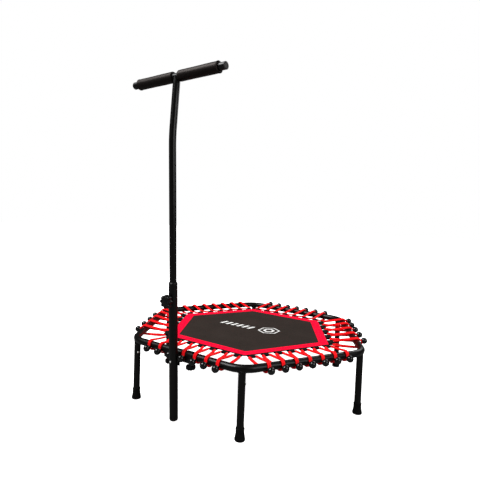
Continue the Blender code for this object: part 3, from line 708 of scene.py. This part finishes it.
# ---- mat -------------------------------------------------------------------------------------
def hex_point(apothem, corner, t=0.0):
    """A point on a hexagon, at fraction t from a corner to the next."""
    r = apothem / COS30
    a, b = math.radians(60 * corner), math.radians(60 * (corner + 1))
    x = r * (math.cos(a) * (1 - t) + math.cos(b) * t)
    y = r * (math.sin(a) * (1 - t) + math.sin(b) * t)
    return x, y


def hex_distance(x, y):
    """Distance from the middle, measured square to the nearest side."""
    angles = [math.radians(30 + 60 * k) for k in range(6)]
    return max(x * math.cos(a) + y * math.sin(a) for a in angles)


def mat_height(x, y):
    """The fabric hangs a little, with faint pulls running in from the cords."""
    d = hex_distance(x, y)
    inside = max(0.0, 1 - (d / MAT_APOTHEM) ** 2)
    near = max(0.0, (d / MAT_APOTHEM - 0.55) / 0.45)
    damping = 1 if d < BORDER_IN else 0.4
    pulls = 0.00022 * near * math.sin(42 * math.atan2(y, x) + 0.6) * damping
    broad = 0.0005 * math.sin(5.1 * x + 1.3) * math.cos(4.3 * y - 0.4) * inside
    return -MAT_SAG * inside + pulls + broad


def mat_sheet():
    """A thick sheet of concentric hexagons, top layer first."""
    points, faces, rims = [], [], []
    for z, turn in ((MAT_TOP, 1), (MAT_UNDER, -1)):
        row = [len(points)]
        points.append((0, 0, z + mat_height(0, 0)))
        for r in range(1, MAT_RINGS + 1):
            inner, row = row, list(range(len(points), len(points) + 6 * r))
            for corner in range(6):
                for s in range(r):
                    x, y = hex_point(MAT_APOTHEM * r / MAT_RINGS, corner, s / r)
                    points.append((x, y, z + mat_height(x, y)))
                    a = row[corner * r + s]
                    b = row[(corner * r + s + 1) % len(row)]
                    at = corner * (r - 1) + s
                    c = inner[at % len(inner)]
                    faces.append((a, b, c)[::turn])
                    if s < r - 1:
                        faces.append((b, inner[(at + 1) % len(inner)], c)[::turn])
        rims.append(row)
    top, bottom = rims
    n = len(top)
    for i in range(n):
        j = (i + 1) % n
        faces.append((bottom[i], bottom[j], top[j], top[i]))
    return points, faces


def band_profile():
    """Red band's section: soft edges, a dip at each row of stitching, fuller between."""
    top, under = [], []
    width = BORDER_OUT - BORDER_IN
    for i in range(BORDER_STEPS + 1):
        t = i / BORDER_STEPS
        out = BORDER_IN + width * t
        edge = min(t, 1 - t) * width
        soft = min(1.0, edge / 0.0016)
        dip = 0.0005 * math.exp(-(((edge - SEAM_INSET) / 0.0012) ** 2))
        thickness = (BORDER_TOP - BORDER_UNDER) * (0.45 + 0.55 * math.sqrt(soft))
        top.append((out, BORDER_UNDER + thickness + BORDER_PUFF * math.sin(math.pi * t) - dip))
        under.append((out, BORDER_UNDER))
    return top[::-1] + under


EDGE_WEBBING_PROFILE = [(0.4003, 0.2940), (0.4000, 0.2926), (0.3660, 0.2921), (0.3662, 0.2934)]


def hex_band(profile, wobble=0.0):
    """The profile, (distance out, height), carried round the hexagon with mitred corners."""
    points, faces, maps = [], [], []
    count = len(profile)
    base = profile[-1][1]
    for corner in range(6):
        for s in range(BAND_STEPS):
            ripple = wobble * math.sin(40 * s / BAND_STEPS * math.pi + corner)
            for out, z in profile:
                x, y = hex_point(out, corner, s / BAND_STEPS)
                lift = ripple if z > base + 1e-4 else 0
                hang = 0.9 * mat_height(x, y) if out < MAT_APOTHEM else 0.0
                points.append((x, y, z + lift + hang))
    rows = 6 * BAND_STEPS
    step = BAND_SIDE_LENGTH / BAND_STEPS
    for i in range(rows):
        j = (i + 1) % rows
        u0, u1 = i * step, (i + 1) * step
        for k in range(count):
            m = (k + 1) % count
            v0, v1 = profile[k][0], profile[m][0]
            faces.append((i * count + m, j * count + m, j * count + k, i * count + k))
            maps.append([(u0, v1), (u1, v1), (u1, v0), (u0, v0)])
    return points, faces, maps


def stitch_row(apothem):
    """Short bowed stitches, evenly spaced along each side."""
    shapes = []
    side = 2 * apothem / math.sqrt(3)
    run = side - 2 * STITCH_CORNER
    count = int(run / STITCH_PITCH)
    for corner in range(6):
        for i in range(count):
            middle = STITCH_CORNER + (i + 0.5) * run / count
            path = []
            for t in (-0.5, -0.25, 0, 0.25, 0.5):
                x, y = hex_point(apothem, corner, (middle + t * STITCH_LENGTH) / side)
                bow = STITCH_BOW * (1 - (2 * t) ** 2)
                path.append((x, y, SEAM_Z + 0.9 * mat_height(x, y) + bow))
            shapes.append(sweep(path, STITCH_R, 6))
    return shapes


def mitre_stitches():
    """Eight stitches across the band at each corner."""
    shapes = []
    for corner in range(6):
        for i in range(8):
            t0, t1 = (i + 0.2) / 8, (i + 0.75) / 8
            path = []
            for t in (t0, (t0 + t1) / 2, t1):
                x, y = hex_point(BORDER_IN + (BORDER_OUT - BORDER_IN) * t, corner)
                path.append((x, y, MITRE_Z + 0.9 * mat_height(x, y)))
            shapes.append(sweep(path, STITCH_R, 6))
    return shapes


def build_mat():
    part("jumping_mat", "mat", "mat", mat_sheet(), "mat_fabric", smooth=60)
    band = hex_band(band_profile(), wobble=0.00012)
    part("red_edge_band", "border", "mat", band, "mat_border", smooth=50)
    stitches = stitch_row(BORDER_IN + SEAM_INSET) + stitch_row(BORDER_OUT - SEAM_INSET)
    part("band_stitching", "thread", "mat", stitches + mitre_stitches(), smooth=60)
    webbing = hex_band(EDGE_WEBBING_PROFILE)
    part("edge_webbing", "web", "mat", webbing, "mat_webbing", smooth=50)


# ---- cord sleeves ----------------------------------------------------------------------------
# Sleeve's centre line, (distance out, height), before and after its fold round the cords
SLEEVE_LOWER = [(0.3700, 0.2916), (0.3850, 0.2914), (0.3970, 0.2908), (0.4100, 0.2896)]
SLEEVE_UPPER = [(0.4130, 0.2981), (0.4040, 0.2966), (0.3990, 0.2960), (0.3955, 0.2955)]
FOLD_HALF_WIDTH, FOLD_HALF_HEIGHT = 0.0058, 0.0057
SLEEVE_END_PINCH = 0.3  # how far the cut ends close on the centre line
SLEEVE_SEAMS = ((0.4020, 0.29715), (0.4085, 0.29805))  # (distance out, height)


def sleeve_set(k):
    return SLEEVE_SETS[len(BALL_PLACES[k])]


def sleeve_places(k):
    count = len(BALL_PLACES[k])
    return [(i - (count - 1) / 2) * sleeve_set(k).pitch for i in range(count)]


def sleeve_sections():
    """The folded strip's outline, and its centre line run out and back to match."""
    fold = [
        (SLEEVE_OUT + FOLD_HALF_WIDTH * math.cos(t), SLEEVE_Z + FOLD_HALF_HEIGHT * math.sin(t))
        for t in np.radians(np.linspace(-92, 118, 13))
    ]
    line = smooth_path(SLEEVE_LOWER + fold + SLEEVE_UPPER, 3)
    tangent = unit_rows(np.gradient(line, axis=0))
    offset = np.stack([-tangent[:, 1], tangent[:, 0]], 1) * SLEEVE_HALF_THICK
    return np.vstack([line + offset, (line - offset)[::-1]]), np.vstack([line, line[::-1]])


def sleeve_shape(outline, middle, place, half):
    """A sleeve about one place on a side, narrowing outwards, in the side's own axes."""
    count = len(outline)
    length = lengths_along(outline)
    pinched = outline + (middle - outline) * SLEEVE_END_PINCH
    stations = [-half, -half + 0.0006, -half / 2, 0, half / 2, half - 0.0006, half]
    last = len(stations) - 1
    points, faces, maps = [], [], []
    for i, x in enumerate(stations):
        for out, z in pinched if i in (0, last) else outline:
            width = 1.06 - 4.2 * max(0.0, out - 0.3960)
            points.append((place + x * width, out, z))
    for r in range(last):
        u0, u1 = stations[r], stations[r + 1]
        for j in range(count):
            m = (j + 1) % count
            faces.append((r * count + j, (r + 1) * count + j, (r + 1) * count + m, r * count + m))
            v0, v1 = length[j], length[min(j + 1, count - 1)]
            maps.append([(u0, v0), (u1, v0), (u1, v1), (u0, v1)])
    for r, turn in ((0, 1), (last, -1)):
        start, end = r * count, (r + 1) * count
        for j in range(count // 2 - 1):
            faces.append((start + j, start + j + 1, end - 2 - j, end - 1 - j)[::turn])
            maps.append([(0, 0), (0.001, 0), (0.001, 0.001), (0, 0.001)])
    return points, faces, maps


def build_sleeves():
    outline, middle = sleeve_sections()
    sleeves, stitches = [], []
    stitch_half, bow, end_margin = 0.0017, 0.0002, 0.0040
    for k in range(6):
        half = sleeve_set(k).length / 2
        reach = half - end_margin
        for place in sleeve_places(k):
            sleeves.append(moved(sleeve_shape(outline, middle, place, half), SIDES[k]))
            for out, z in SLEEVE_SEAMS:
                for d in np.linspace(-reach, reach, sleeve_set(k).stitches):
                    path = [
                        (place + d + t * stitch_half, out, z + bow * (1 - t**2))
                        for t in (-1, 0, 1)
                    ]
                    stitches.append(sweep(on_side(k, path), 0.00036, 6))
    part("cord_sleeves", "web", "mat", sleeves, smooth=50)
    part("sleeve_stitching", "dark_thread", "mat", stitches, smooth=60)


# ---- print: two open hexagons and a row of slanted bars --------------------------------------
EMBLEM_X, EMBLEM_Y = 0.105, 0.028
EMBLEM_RINGS = ((0.0530, 0.0610), (0.0200, 0.0330))  # (inner, outer) corner radius
BARS_X, BAR_PITCH, BAR_COUNT = -0.196, 0.0365, 6
BAR_OUTLINE = [(0, -0.014), (0.017, -0.013), (0.027, 0.037), (0.010, 0.036)]
PRINT_RAISE = 0.00012


def print_patch(corners, steps=4):
    """A four-cornered patch laid on the fabric."""
    a, b, c, d = (np.array(p, float) for p in corners)
    points, faces = [], []
    for i in range(steps + 1):
        for j in range(3):
            u, v = i / steps, j / 2
            x, y = (a * (1 - u) + b * u) * (1 - v) + (d * (1 - u) + c * u) * v
            points.append((x, y, MAT_TOP + mat_height(x, y) + PRINT_RAISE))
    for i in range(steps):
        for j in range(2):
            q = i * 3 + j
            faces.append((q, q + 3, q + 4, q + 1))
    return points, faces


def build_print():
    patches = []
    for inner, outer in EMBLEM_RINGS:
        for c in range(6):
            corners = []
            for r, corner in ((inner, c), (outer, c), (outer, c + 1), (inner, c + 1)):
                t = math.radians(60 * corner + 30)
                corners.append((EMBLEM_X + r * math.cos(t), EMBLEM_Y + r * math.sin(t)))
            patches.append(print_patch(corners))
    for i in range(BAR_COUNT):
        start = BARS_X + i * BAR_PITCH
        patches.append(print_patch([(start + x, y) for x, y in BAR_OUTLINE]))
    part("plain_print", "print", "mat", patches, smooth=60)


# ---- cords and balls -------------------------------------------------------------------------
# up: 1 over the tube, -1 under it          lifts: heights at two points by the sleeve's mouth
# shift: offset along the side at the tube  droop: hang of the span from sleeve to tube
# steps, ease, narrowing: of the arc round the tube
# lead: degrees from the ball where the arc ends
# standoff: from the wrap to the next point
Route = namedtuple("Route", "up lifts shift droop steps ease narrowing lead standoff")
OVER = Route(up=1, lifts=(0.0003, 0.0008), shift=0.0030, droop=0.0012, steps=6, ease=1.0,
             narrowing=0.22, lead=22, standoff=0.0065)
UNDER = Route(up=-1, lifts=(-0.0002, -0.0004), shift=0.0045, droop=0.0010, steps=5, ease=0.7,
              narrowing=0.3, lead=24, standoff=0.0060)
WRAP_START = 98  # degrees from level where a cord meets the tube
CORD_END = 0.0135  # from the wrap to the cord's end in the ball
STRAND_LIFT = 0.0008
JITTER = 0.0009


def cord_path(k, sleeve_at, ball_at, angle, strand, end, route, jitter):
    """One strand from mid-sleeve to its ball, in the axes of side k.

    strand (-1 or 1) picks one of the pair; end (-1 or 1) is the sleeve end it leaves by.
    """
    group = sleeve_set(k)
    half = group.length / 2
    apart, wide = strand * group.strand_gap, strand * group.strand_gap_at_tube
    z = SLEEVE_Z + strand * STRAND_LIFT
    lift_near, lift_far = route.lifts
    out = SLEEVE_OUT
    points = [
        (sleeve_at, out - 0.0002, z),
        (sleeve_at + end * (half - 0.0030), out, z),
        (sleeve_at + end * (half + 0.0010) + apart * 0.3, out + 0.0012 - end * apart * 0.4,
         z + lift_near),
        (sleeve_at + end * (half + 0.0036) + apart * 0.8, out + 0.0062 - end * apart * 0.3,
         z + lift_far),
    ]
    # The span to the tube
    start = sleeve_at + end * (half + 0.0044)
    offset = end * route.shift
    for t in (0.22, 0.58):
        points.append((
            start + (ball_at + offset - start) * t + apart + (wide - apart) * t,
            SLEEVE_OUT + (APOTHEM - 0.004 - SLEEVE_OUT) * t,
            SLEEVE_Z + (FRAME_Z + route.up * WRAP_R - SLEEVE_Z) * t
            - route.droop * math.sin(math.pi * t),
        ))

    def round_tube(along, distance, degrees):
        a = math.radians(degrees)
        points.append((along, APOTHEM + distance * math.cos(a), FRAME_Z + distance * math.sin(a)))

    first, last = route.up * WRAP_START, angle + route.up * route.lead
    for t in np.linspace(0, 1, route.steps):
        along = ball_at + offset * (1 - t) ** route.ease + wide * (1 - route.narrowing * t)
        round_tube(along + jitter * (1 - t), WRAP_R, first + (last - first) * t)
    round_tube(ball_at + wide * 0.75, WRAP_R + route.standoff, angle + route.up * 6)
    round_tube(ball_at + wide * 0.45, WRAP_R + CORD_END, angle)
    return points


def ball_shape():
    """A ball with a flat outer pole, a groove round its middle and a lipped cord hole."""
    r = BALL_R

    def arc(start, stop):
        return [(r * math.sin(a), r * math.cos(a)) for a in np.linspace(start, stop, 8)]

    profile = [(0, r * 0.965), (0.0022, r * 0.965), (0.0030, r * 0.975)] + arc(0.24, 1.50)
    profile += [(r - 0.00022, 0.0004), (r - 0.00022, -0.0004)] + arc(1.64, 2.78)
    profile += [(0.0060, -r * 0.96), (0.0052, -r * 1.02), (0.0042, -r * 1.02)]
    profile += [(0.0036, -r * 0.90), (0, -r * 0.90)]
    return lathe(profile[::-1], 32)


def ball_matrix(k, ball_at, angle):
    """Puts a ball by the tube with its axis pointing away from the tube."""
    away = Vector((0, math.cos(math.radians(angle)), math.sin(math.radians(angle))))
    spot = SIDES[k] @ (Vector((ball_at, APOTHEM, FRAME_Z)) + away * BALL_DIST)
    turn = (SIDES[k].to_3x3() @ away).to_track_quat("Z", "Y")
    return shift(spot) @ turn.to_matrix().to_4x4()


def build_cords():
    for k in range(6):
        strands, balls = [], []
        for i, (sleeve_at, ball_at) in enumerate(zip(sleeve_places(k), BALL_PLACES[k])):
            angle = LOW_BALL_ANGLE if (k, i) == LOW_BALL else BALL_ANGLE[k]
            jitter = JITTER * rng.standard_normal()
            for strand in (-1, 1):
                for route, stray in ((OVER, jitter), (UNDER, 0.0)):
                    end = -route.up * UNDER_SIDE[k]
                    path = cord_path(k, sleeve_at, ball_at, angle, strand, end, route, stray)
                    strands.append(sweep(smooth_path(on_side(k, path), 5), CORD_R, 10))
            balls.append(moved(ball_shape(), ball_matrix(k, ball_at, angle)))
        cords = make(f"cords_side_{k + 1}", "cord", strands, smooth=60)
        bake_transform(cords)
        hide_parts(f"bungees_side_{k + 1}")
        part(f"cord_balls_{k + 1}", "ball", "frame", balls, smooth=40)


# ---- handle post -----------------------------------------------------------------------------
# Profiles are (radius, height)
POST_PROFILE = [
    (POST_BORE, POST_TOP), (POST_BORE, 0.0108), (POST_R - 0.0004, 0.0108), (POST_R, 0.0112),
    (POST_R, POST_TOP - 0.0006), (POST_R - 0.0006, POST_TOP),
]
PLUG_PROFILE = [
    (0, 0.0011), (0.0100, 0.0011), (0.0140, 0.0017), (0.0168, 0.0033), (0.0185, 0.0058),
    (POST_R, 0.0088), (POST_R, 0.0104), (POST_R - 0.0006, 0.0107), (0.0174, 0.0107),
    (0.0174, 0.0300), (0.0160, 0.0320), (0, 0.0320),
]
COLLAR_PROFILE = [
    (STEM_R + 0.0003, 0.6128), (STEM_R + 0.0003, 0.5640), (0.0174, 0.5640),
    (0.0174, POST_TOP + 0.0002), (POST_R - 0.0002, POST_TOP + 0.0002),
    (POST_R + 0.0002, POST_TOP + 0.0006), (POST_R + 0.0002, 0.6092), (POST_R - 0.0002, 0.6104),
    (0.0174, 0.6127), (0.0168, 0.6130), (STEM_R + 0.0008, 0.6130),
]
NUT_PROFILE = [
    (0.0044, 0.0242), (0.0044, 0.0187), (0.0104, 0.0187), (0.0098, 0.0197), (0.0092, 0.0206),
    (0.0092, 0.0236), (0.0086, 0.0242),
]


def screw_thread(radius, z0, z1, pitch=0.00125, depth=0.00045):
    """A screw drawn as a stack of ridges."""
    root = radius - depth
    profile = [(0, z0), (root, z0)]
    z = z0 + pitch / 2
    while z < z1 - pitch / 2:
        profile += [(radius, z), (root, z + pitch / 2)]
        z += pitch
    return lathe(profile + [(root, z1), (0, z1)], 20)


def star_knob(radius, depth, low, high, neck_r, neck_to, bore, bore_to, sides):
    """Eight-lobed grip: a neck on the low side, rolled edges, a dished top with a button."""
    t = high - low
    profile = [  # (radius, height, depth of the hollows)
        (0, bore_to, 0), (bore, bore_to, 0), (bore, neck_to, 0),
        (neck_r - 0.0010, neck_to, 0), (neck_r, neck_to + 0.0010, 0),
        (neck_r + 0.0006, low - 0.0016, 0), (neck_r + 0.0022, low - 0.0002, 0),
        (radius * 0.74, low, depth * 0.35), (radius * 0.90, low + 0.02 * t, depth * 0.85),
        (radius - 0.0014, low + 0.08 * t, depth), (radius - 0.0003, low + 0.18 * t, depth),
        (radius, low + 0.30 * t, depth), (radius, low + 0.68 * t, depth),
        (radius - 0.0004, low + 0.80 * t, depth), (radius - 0.0018, low + 0.91 * t, depth),
        (radius * 0.86, low + 0.985 * t, depth * 0.8), (radius * 0.74, high, depth * 0.45),
        (radius * 0.58, high, 0), (radius * 0.54, high - 0.0008, 0),
        (radius * 0.50, high - 0.0009, 0), (radius * 0.46, high - 0.0001, 0),
        (radius * 0.40, high + 0.0007, 0), (radius * 0.20, high + 0.0010, 0),
        (0, high + 0.0010, 0),
    ]
    return lathe(profile, sides, lobes=8)


def build_post():
    post, plug = lathe(POST_PROFILE, 64), lathe(PLUG_PROFILE, 56)
    collar, nut = lathe(COLLAR_PROFILE, 56), lathe(NUT_PROFILE, 40)
    screw = screw_thread(0.0040, STEM_R + 0.0004, 0.0436)
    low = KNOB_MID - KNOB_THICK / 2
    knob = star_knob(radius=KNOB_R, depth=0.0062, low=low, high=low + KNOB_THICK, neck_r=0.0125,
                     neck_to=low - 0.0060, bore=0.0043, bore_to=0.0446, sides=160)
    part("post_tube", "paint", "frame", moved(post, POST), "handle_post")
    part("post_plug", "rubber", "frame", moved(plug, POST), "post_end_plug")
    part("post_guide_collar", "plastic", "frame", moved(collar, POST), "post_collar")
    part("height_nut_boss", "paint", "frame", moved(nut, HEIGHT_KNOB), "height_nut")
    part("height_screw_thread", "zinc", "height_knob", moved(screw, HEIGHT_KNOB),
         "height_screw", smooth=20)
    part("height_star_knob", "plastic", "height_knob", moved(knob, HEIGHT_KNOB),
         "height_knob", smooth=45)


# ---- handle stem, crossbar, grips, caps ------------------------------------------------------
def build_stem():
    """The stem, bent back at the top and cut to the crossbar's underside, and its weld."""
    sides = 56
    bend = math.atan2(STEM_SET_BACK, STEM_TOP - STEM_BEND)
    radius = STEM_BEND_REACH / math.tan(bend / 2)
    bend_start = STEM_BEND - STEM_BEND_REACH
    path = [(0, 0, STEM_END + (bend_start - STEM_END) * i / 12) for i in range(12)]
    for i in range(13):
        t = bend * i / 12
        path.append((0, radius * (1 - math.cos(t)), bend_start + radius * math.sin(t)))
    last = np.array(path[-1])
    top = np.array((0, STEM_SET_BACK, STEM_TOP))
    upward = (top - last) / np.linalg.norm(top - last)
    sideways = np.array((0, upward[2], -upward[1]))
    end = top - upward * (BAR_R + 0.0004)
    path += [last + (end - last) * i / 6 for i in range(1, 7)]

    def bar_underside(across, off, clear):
        drop = math.sqrt(max((BAR_R + clear) ** 2 - off**2, 0.0)) if abs(off) < BAR_R else 0.0
        _, y, z = top + sideways * off - upward * drop
        return across, y, z

    points, faces, maps = sweep(path, STEM_R, sides)
    for i in range(-sides, 0):
        off = float(np.dot(np.array(points[i]) - top, sideways))
        points[i] = bar_underside(points[i][0], off, clear=0.0003)
    stem = moved((points, faces, maps), POST)
    part("handle_stem_tube", "stem_paint", "handle", stem, "handle_stem")
    rim = circle(STEM_R - 0.0002, 64)
    bead = [bar_underside(across, off, clear=0.0005) for off, across in rim]
    radii = [0.0012 + 0.0002 * math.sin(i * 1.9) for i in range(len(bead))]
    weld = moved(sweep(bead, radii, 8, closed=True), POST)
    part("stem_weld", "stem_paint", "handle", weld, smooth=60)


BAR_PROFILE = [  # (radius, place along the bar)
    (0.0135, BAR_HALF - 0.0043), (0.0135, -BAR_HALF + 0.0043),
    (BAR_R - 0.0004, -BAR_HALF + 0.0043), (BAR_R, -BAR_HALF + 0.0048),
    (BAR_R, BAR_HALF - 0.0048), (BAR_R - 0.0004, BAR_HALF - 0.0043),
]
CAP_PROFILE = [
    (0, BAR_HALF - 0.0200), (0.0125, BAR_HALF - 0.0200), (0.0132, BAR_HALF - 0.0190),
    (0.0132, BAR_HALF - 0.0041), (BAR_R + 0.0001, BAR_HALF - 0.0041),
    (BAR_R + 0.0003, BAR_HALF - 0.0036), (BAR_R + 0.0003, BAR_HALF - 0.0018),
    (BAR_R - 0.0002, BAR_HALF - 0.0007), (BAR_R - 0.0014, BAR_HALF - 0.0001),
    (BAR_R - 0.0026, BAR_HALF), (0.0100, BAR_HALF), (0.0096, BAR_HALF - 0.0004),
    (0, BAR_HALF - 0.0004),
]


def grip_shape(sign, steps=40):
    """A foam tube with a slow uneven swell and a raised lip at its outer end."""
    bore, r = BAR_R + 0.0003, GRIP_R
    profile = [
        (bore, GRIP_OUT - 0.0006), (bore, GRIP_IN + 0.0006), (bore + 0.0006, GRIP_IN),
        (r - 0.0036, GRIP_IN), (r - 0.0014, GRIP_IN + 0.0008), (r - 0.0003, GRIP_IN + 0.0026),
    ]
    for i in range(steps + 1):
        t = i / steps
        swell = 0.00016 * math.sin(9 * t + sign) + 0.0001 * math.sin(31 * t)
        along = GRIP_IN + 0.0045 + (GRIP_OUT - GRIP_IN - 0.0090) * t
        profile.append((r - 0.00025 + swell, along))
    profile += [
        (r + 0.0001, GRIP_OUT - 0.0062), (r + 0.0007, GRIP_OUT - 0.0048),
        (r + 0.0007, GRIP_OUT - 0.0026), (r - 0.0014, GRIP_OUT - 0.0008),
        (r - 0.0036, GRIP_OUT), (bore + 0.0006, GRIP_OUT),
    ]
    return lathe(profile, 56)


def build_crossbar():
    bar = moved(lathe(BAR_PROFILE, 56), BAR)
    part("crossbar_tube", "stem_paint", "handle", bar, "handle_crossbar")
    for name, sign, place in (("left", -1, BAR @ X180), ("right", 1, BAR)):
        grip, cap = moved(grip_shape(sign), place), moved(lathe(CAP_PROFILE, 56), place)
        part(f"foam_grip_{name}", "foam", "handle", grip, f"grip_{name}", smooth=45)
        part(f"bar_end_cap_{name}", "cap", "handle", cap, f"bar_cap_{name}", smooth=40)


# ---- bracket and clamps ----------------------------------------------------------------------
POST_SCREW_PROFILE = [  # (radius, distance out from the post's axis)
    (0, -0.010), (0.0024, -0.010), (0.0024, POST_R + 0.0002), (0.0046, POST_R + 0.0002),
    (0.0047, POST_R + 0.0008), (0.0042, POST_R + 0.0018), (0.0030, POST_R + 0.0026),
    (0.0016, POST_R + 0.0030), (0.0014, POST_R + 0.0020), (0, POST_R + 0.0020),
]


def build_bracket():
    """A plate under the tube, a block between tube and post, and the post's screw."""
    flange = box(CLAMP_X[0] - CLAMP_W / 2, CLAMP_X[1] + CLAMP_W / 2,
                 -(APOTHEM + 0.0190), -(APOTHEM - 0.0195), FLANGE_Z0, FLANGE_Z1)
    block = box(POST_X - 0.0165, POST_X + 0.0165,
                -(APOTHEM + 0.0222), -(APOTHEM + 0.0192), FRAME_Z - 0.0500, FRAME_Z - 0.0172)
    part("bracket_flange", "paint", "frame", flange, "post_bracket", bevel=0.0008)
    part("bracket_block", "paint", "frame", block, bevel=0.0008)
    screw_y = -(APOTHEM + POST_OUT + LEAN * POST_SCREW_Z)
    screw_place = shift((POST_X, screw_y, POST_SCREW_Z)) @ X90
    screw = moved(lathe(POST_SCREW_PROFILE, 28), screw_place)
    part("post_screw_head", "zinc", "frame", screw, "post_screw")


def hook_outline():
    """An arch over the tube with straight legs down to the flange, as (y, z)."""
    inner, outer, foot = TUBE_R + 0.0003, HOOK_R, FLANGE_Z1 + 0.0003
    turns = np.linspace(0, math.pi, 33)
    outline = [(-APOTHEM - outer, foot)]
    outline += [(-APOTHEM - outer * math.cos(t), FRAME_Z + outer * math.sin(t)) for t in turns]
    outline += [(-APOTHEM + outer, foot), (-APOTHEM + inner, foot)]
    outline += [(-APOTHEM + inner * math.cos(t), FRAME_Z + inner * math.sin(t)) for t in turns]
    outline += [(-APOTHEM - inner, foot)]
    return outline[::-1]


def build_clamp(name, x):
    place = shift((x, -APOTHEM, 0))
    z = FLANGE_Z0 - 0.0003
    washer = lathe([(0.0038, z), (0.0038, z - 0.0017), (0.0101, z - 0.0017),
                    (0.0105, z - 0.0014), (0.0105, z - 0.0003), (0.0101, z)], 40)
    stud = screw_thread(0.0035, CLAMP_KNOB_BOTTOM + 0.0032, FRAME_Z - TUBE_R - 0.0006)
    # The knob is made upside down and turned over.
    knob = star_knob(radius=CLAMP_KNOB_R, depth=0.0046, low=-CLAMP_KNOB_TOP,
                     high=-CLAMP_KNOB_BOTTOM, neck_r=0.0085, neck_to=-CLAMP_KNOB_TOP - 0.0050,
                     bore=0.0038, bore_to=-CLAMP_KNOB_BOTTOM - 0.0028, sides=128)
    hook = prism(hook_outline(), x - CLAMP_W / 2, x + CLAMP_W / 2)
    body = f"clamp_knob_{name}"
    part(f"tube_clamp_{name}", "paint", "frame", hook, f"clamp_hook_{name}", bevel=0.0005)
    part(f"clamp_washer_disc_{name}", "zinc", "frame", moved(washer, place),
         f"clamp_washer_{name}")
    part(f"clamp_stud_thread_{name}", "zinc", body, moved(stud, place),
         f"clamp_stud_{name}", smooth=20)
    part(f"clamp_star_knob_{name}", "plastic", body, moved(knob, place @ X180), body, smooth=45)


# ---- floor, light, camera --------------------------------------------------------------------
def build_floor():
    """A floor that glows to the camera and is dim grey to all other rays."""
    n = Material("studio_floor")
    patches = n.noise(n.coords(), scale=3.0, detail=3)
    n.set(
        Base_Color=n.ramp(patches, low=(0.3, 0.90), high=(0.7, 0.94)),
        Roughness=0.9,
        Specular_IOR_Level=0.05,
    )
    rays = n.add("ShaderNodeLightPath").outputs
    glow = n.add("ShaderNodeEmission", {"Strength": 0.82}).outputs[0]
    lit = n.add("ShaderNodeAddShader", {0: n.bsdf.outputs[0], 1: glow}).outputs[0]
    dim = n.add("ShaderNodeBsdfDiffuse", {"Color": rgba(0.10)}).outputs[0]
    seen = n.add("ShaderNodeMixShader", {0: rays["Is Camera Ray"], 1: dim, 2: lit}).outputs[0]
    n.feed(n.tree.nodes["Material Output"].inputs["Surface"], seen)
    bpy.ops.mesh.primitive_plane_add(size=60, location=(0, 0, -0.0005))
    floor = bpy.context.object
    floor.name = "studio_floor"
    floor.data.materials.append(n.mat)


def build_world():
    """White surroundings: full to the camera, weaker as light, faint in reflections."""
    diffuse_strength, glossy_strength = 0.85, 0.045
    world = bpy.data.worlds.new("studio")
    bpy.context.scene.world = world
    world.use_nodes = True
    n = Graph(world.node_tree)
    background = n.tree.nodes["Background"].inputs
    background["Color"].default_value = rgba(1)
    rays = n.add("ShaderNodeLightPath").outputs
    scattered = n.math("MULTIPLY", rays["Is Diffuse Ray"], diffuse_strength)
    inputs = {0: rays["Is Glossy Ray"], 1: glossy_strength, 2: scattered}
    mirrored = n.add("ShaderNodeMath", inputs, operation="MULTIPLY_ADD").outputs[0]
    n.feed(background["Strength"], n.math("ADD", mirrored, rays["Is Camera Ray"]))


def area_light(name, location, target_z, size, power):
    """A square light aimed at a height on the Z axis."""
    light = bpy.data.lights.new(name, "AREA")
    light.energy = power
    light.size = size
    obj = bpy.data.objects.new(name, light)
    bpy.context.scene.collection.objects.link(obj)
    obj.location = location
    aim = Vector((0, 0, target_z)) - Vector(location)
    obj.rotation_euler = aim.to_track_quat("-Z", "Y").to_euler()


def build_camera():
    pitch, roll, yaw = 0.051426, 0.035944, -0.59626946  # radians: down, about the view, about Z
    position = Vector((1.168616, -1.850032 + RING_Y, 0.889492))
    forward = Vector((
        math.sin(yaw) * math.cos(pitch), math.cos(yaw) * math.cos(pitch), -math.sin(pitch)
    ))
    level_right = Vector((math.cos(yaw), -math.sin(yaw), 0))
    level_up = level_right.cross(forward)
    right = level_right * math.cos(roll) + level_up * math.sin(roll)
    up = -level_right * math.sin(roll) + level_up * math.cos(roll)
    camera = bpy.data.cameras.new("camera")
    camera.sensor_width = 36
    camera.sensor_fit = "HORIZONTAL"
    camera.lens = 30.0993
    camera.clip_start = 0.05
    obj = bpy.data.objects.new("camera", camera)
    bpy.context.scene.collection.objects.link(obj)
    obj.matrix_world = shift(position) @ Matrix((right, up, -forward)).transposed().to_4x4()
    bpy.context.scene.camera = obj


# ---- build -----------------------------------------------------------------------------------
build_frame()
build_mat()
build_sleeves()
build_print()
build_cords()
build_post()
build_stem()
build_crossbar()
build_bracket()
for clamp_name, clamp_x in zip(("left", "right"), CLAMP_X):
    build_clamp(clamp_name, clamp_x)

build_floor()
build_world()
area_light("key", location=(-2.3, -3.0, 5.4), target_z=0.5, size=3.0, power=330)
area_light("fill", location=(2.8, -0.6, 1.8), target_z=0.5, size=1.6, power=22)
area_light("rim", location=(0.8, 4.4, 3.6), target_z=0.6, size=2.4, power=60)
build_camera()
bpy.context.scene.view_settings.view_transform = "Standard"
bpy.context.scene.view_settings.look = "None"
